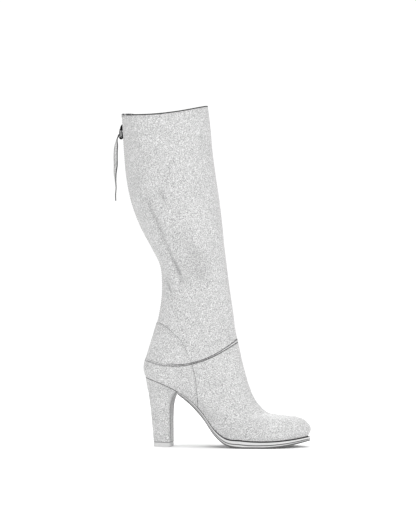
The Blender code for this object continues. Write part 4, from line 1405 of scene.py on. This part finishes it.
def aim(made, target):
    """Turns a light at its place to face a point."""
    direction = np.array(target) - np.array(made.location)
    level = math.hypot(direction[0], direction[1])
    made.rotation_euler = (math.atan2(level, -direction[2]), 0.0, math.atan2(-direction[0], direction[1]))


Softbox = namedtuple("Softbox", "name place size power")
SOFTBOXES = [
    Softbox("front_left", (-2.6, -2.8, 0.6), 2.4, 42.0),
    Softbox("front_right", (3.0, -2.4, 0.6), 2.4, 68.0),
    Softbox("behind", (-0.4, 2.8, 2.2), 2.4, 40.0),
]
AIM = (0.0, 0.0, 0.24)
FLOOR_HALF = 1.5
SKY_LIGHT, SKY_SEEN = 0.8, 1.05
CEILING_POWER, CEILING_SPREAD = 1.7, math.radians(80)


def build_camera(scene):
    """Camera level with the middle of the boot, turned a little towards its toe."""
    stage = scene.boot_stage
    data = bpy.data.cameras.new("camera")
    data.lens = stage.lens
    data.sensor_width = 36.0
    made = bpy.data.objects.new("camera", data)
    turn = stage.azimuth
    made.location = (
        stage.aside + stage.distance * math.sin(turn),
        -stage.distance * math.cos(turn),
        stage.height,
    )
    made.rotation_euler = (math.pi / 2, 0.0, turn)
    scene.collection.objects.link(made)
    scene.camera = made


def build_floor(scene):
    """A wide level sheet of paper."""
    corner = np.array([[-1, -1, 0], [1, -1, 0], [1, 1, 0], [-1, 1, 0]]) * FLOOR_HALF / MM
    mesh = new_mesh("floor", corner, [[0, 1, 2, 3]])
    mesh.materials.append(backdrop_paper("backdrop_paper", scene.boot_colours.floor))
    made = bpy.data.objects.new("floor", mesh)
    scene.collection.objects.link(made)


def build_lights(scene):
    """Soft boxes round the boot, an even ceiling light, and a pale sky that is brighter to the camera."""
    for box in SOFTBOXES:
        data = bpy.data.lights.new(box.name, "AREA")
        data.size = box.size
        data.energy = box.power
        made = bpy.data.objects.new(box.name, data)
        made.location = box.place
        aim(made, AIM)
        scene.collection.objects.link(made)
    data = bpy.data.lights.new("ceiling", "SUN")
    data.energy = CEILING_POWER
    data.angle = CEILING_SPREAD
    scene.collection.objects.link(bpy.data.objects.new("ceiling", data))
    world = bpy.data.worlds.new("studio")
    world.use_nodes = True
    scene.world = world
    tree = world.node_tree
    seen = add_node(tree, "ShaderNodeLightPath").outputs["Is Camera Ray"]
    strength = ranged(tree, seen, 0.0, 1.0, SKY_LIGHT, SKY_SEEN)
    tree.links.new(strength, tree.nodes["Background"].inputs["Strength"])
    tree.nodes["Background"].inputs["Color"].default_value = (1.0, 1.0, 1.0, 1.0)
    scene.view_settings.view_transform = "Standard"


# Operators


class BOOT_OT_stage(bpy.types.Operator):
    """Set up the camera, the floor and the lights"""

    bl_idname = "boot.stage"
    bl_label = "Stage"

    def execute(self, context):
        build_camera(context.scene)
        build_floor(context.scene)
        build_lights(context.scene)
        return {"FINISHED"}


class BOOT_OT_pull(bpy.types.Operator):
    """Build the zip's pull: the ring, the hanging strip and its loop"""

    bl_idname = "boot.pull"
    bl_label = "Pull"

    def execute(self, context):
        build_strip(context.scene)
        build_strip_loop(context.scene)
        build_ring(context.scene)
        return {"FINISHED"}


class BOOT_OT_foot(bpy.types.Operator):
    """Build the foot: the vamp and the quarter round the heel"""

    bl_idname = "boot.foot"
    bl_label = "Foot"

    def execute(self, context):
        build_foot(context.scene)
        build_quarter(context.scene)
        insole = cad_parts["insole"]
        insole.data.materials.clear()
        insole.data.materials.append(lining(context.scene))
        return {"FINISHED"}


class BOOT_OT_shaft(bpy.types.Operator):
    """Build the shaft with its folds, and the counter over the heel's back"""

    bl_idname = "boot.shaft"
    bl_label = "Shaft"

    def execute(self, context):
        build_shaft(context.scene)
        build_counter(context.scene)
        return {"FINISHED"}


class BOOT_OT_seams(bpy.types.Operator):
    """Build the ankle piping and the stitches"""

    bl_idname = "boot.seams"
    bl_label = "Seams"

    def execute(self, context):
        build_piping(context.scene)
        build_stitches(context.scene)
        return {"FINISHED"}


class BOOT_OT_sole(bpy.types.Operator):
    """Build the sole's layers, the heel and its toplift"""

    bl_idname = "boot.sole"
    bl_label = "Sole and heel"

    def execute(self, context):
        build_sole(context.scene)
        build_heel(context.scene)
        return {"FINISHED"}


class BOOT_OT_zip(bpy.types.Operator):
    """Build the zip: its tapes, end tabs, teeth and slider"""

    bl_idname = "boot.zip"
    bl_label = "Zip"

    def execute(self, context):
        build_tapes(context.scene)
        build_zip_ends(context.scene)
        build_teeth(context.scene)
        build_slider(context.scene)
        return {"FINISHED"}


OPERATORS = (
    BOOT_OT_stage,
    BOOT_OT_pull,
    BOOT_OT_foot,
    BOOT_OT_shaft,
    BOOT_OT_seams,
    BOOT_OT_sole,
    BOOT_OT_zip,
)


class BOOT_PT_panel(bpy.types.Panel):
    """Sizes, colours and build steps of the boot"""

    bl_idname = "BOOT_PT_panel"
    bl_label = "Heeled boot"
    bl_space_type = "VIEW_3D"
    bl_region_type = "UI"
    bl_category = "Boot"

    def draw(self, context):
        for group in (context.scene.boot_sizes, context.scene.boot_colours, context.scene.boot_stage):
            box = self.layout.box()
            for name in group.__annotations__:
                box.prop(group, name)
        for operator in OPERATORS:
            self.layout.operator(operator.bl_idname)


GROUPS = {"boot_sizes": BootSizes, "boot_colours": BootColours, "boot_stage": BootStage}


def register():
    for made in (*GROUPS.values(), *OPERATORS, BOOT_PT_panel):
        bpy.utils.register_class(made)
    for name, group in GROUPS.items():
        setattr(bpy.types.Scene, name, bpy.props.PointerProperty(type=group))


def unregister():
    for name in GROUPS:
        delattr(bpy.types.Scene, name)
    for made in (BOOT_PT_panel, *reversed(OPERATORS), *GROUPS.values()):
        bpy.utils.unregister_class(made)


def main():
    register()
    bpy.ops.boot.stage()
    bpy.ops.boot.pull()
    bpy.ops.boot.foot()
    bpy.ops.boot.shaft()
    bpy.ops.boot.seams()
    bpy.ops.boot.sole()
    bpy.ops.boot.zip()


if __name__ == "__main__":
    main()
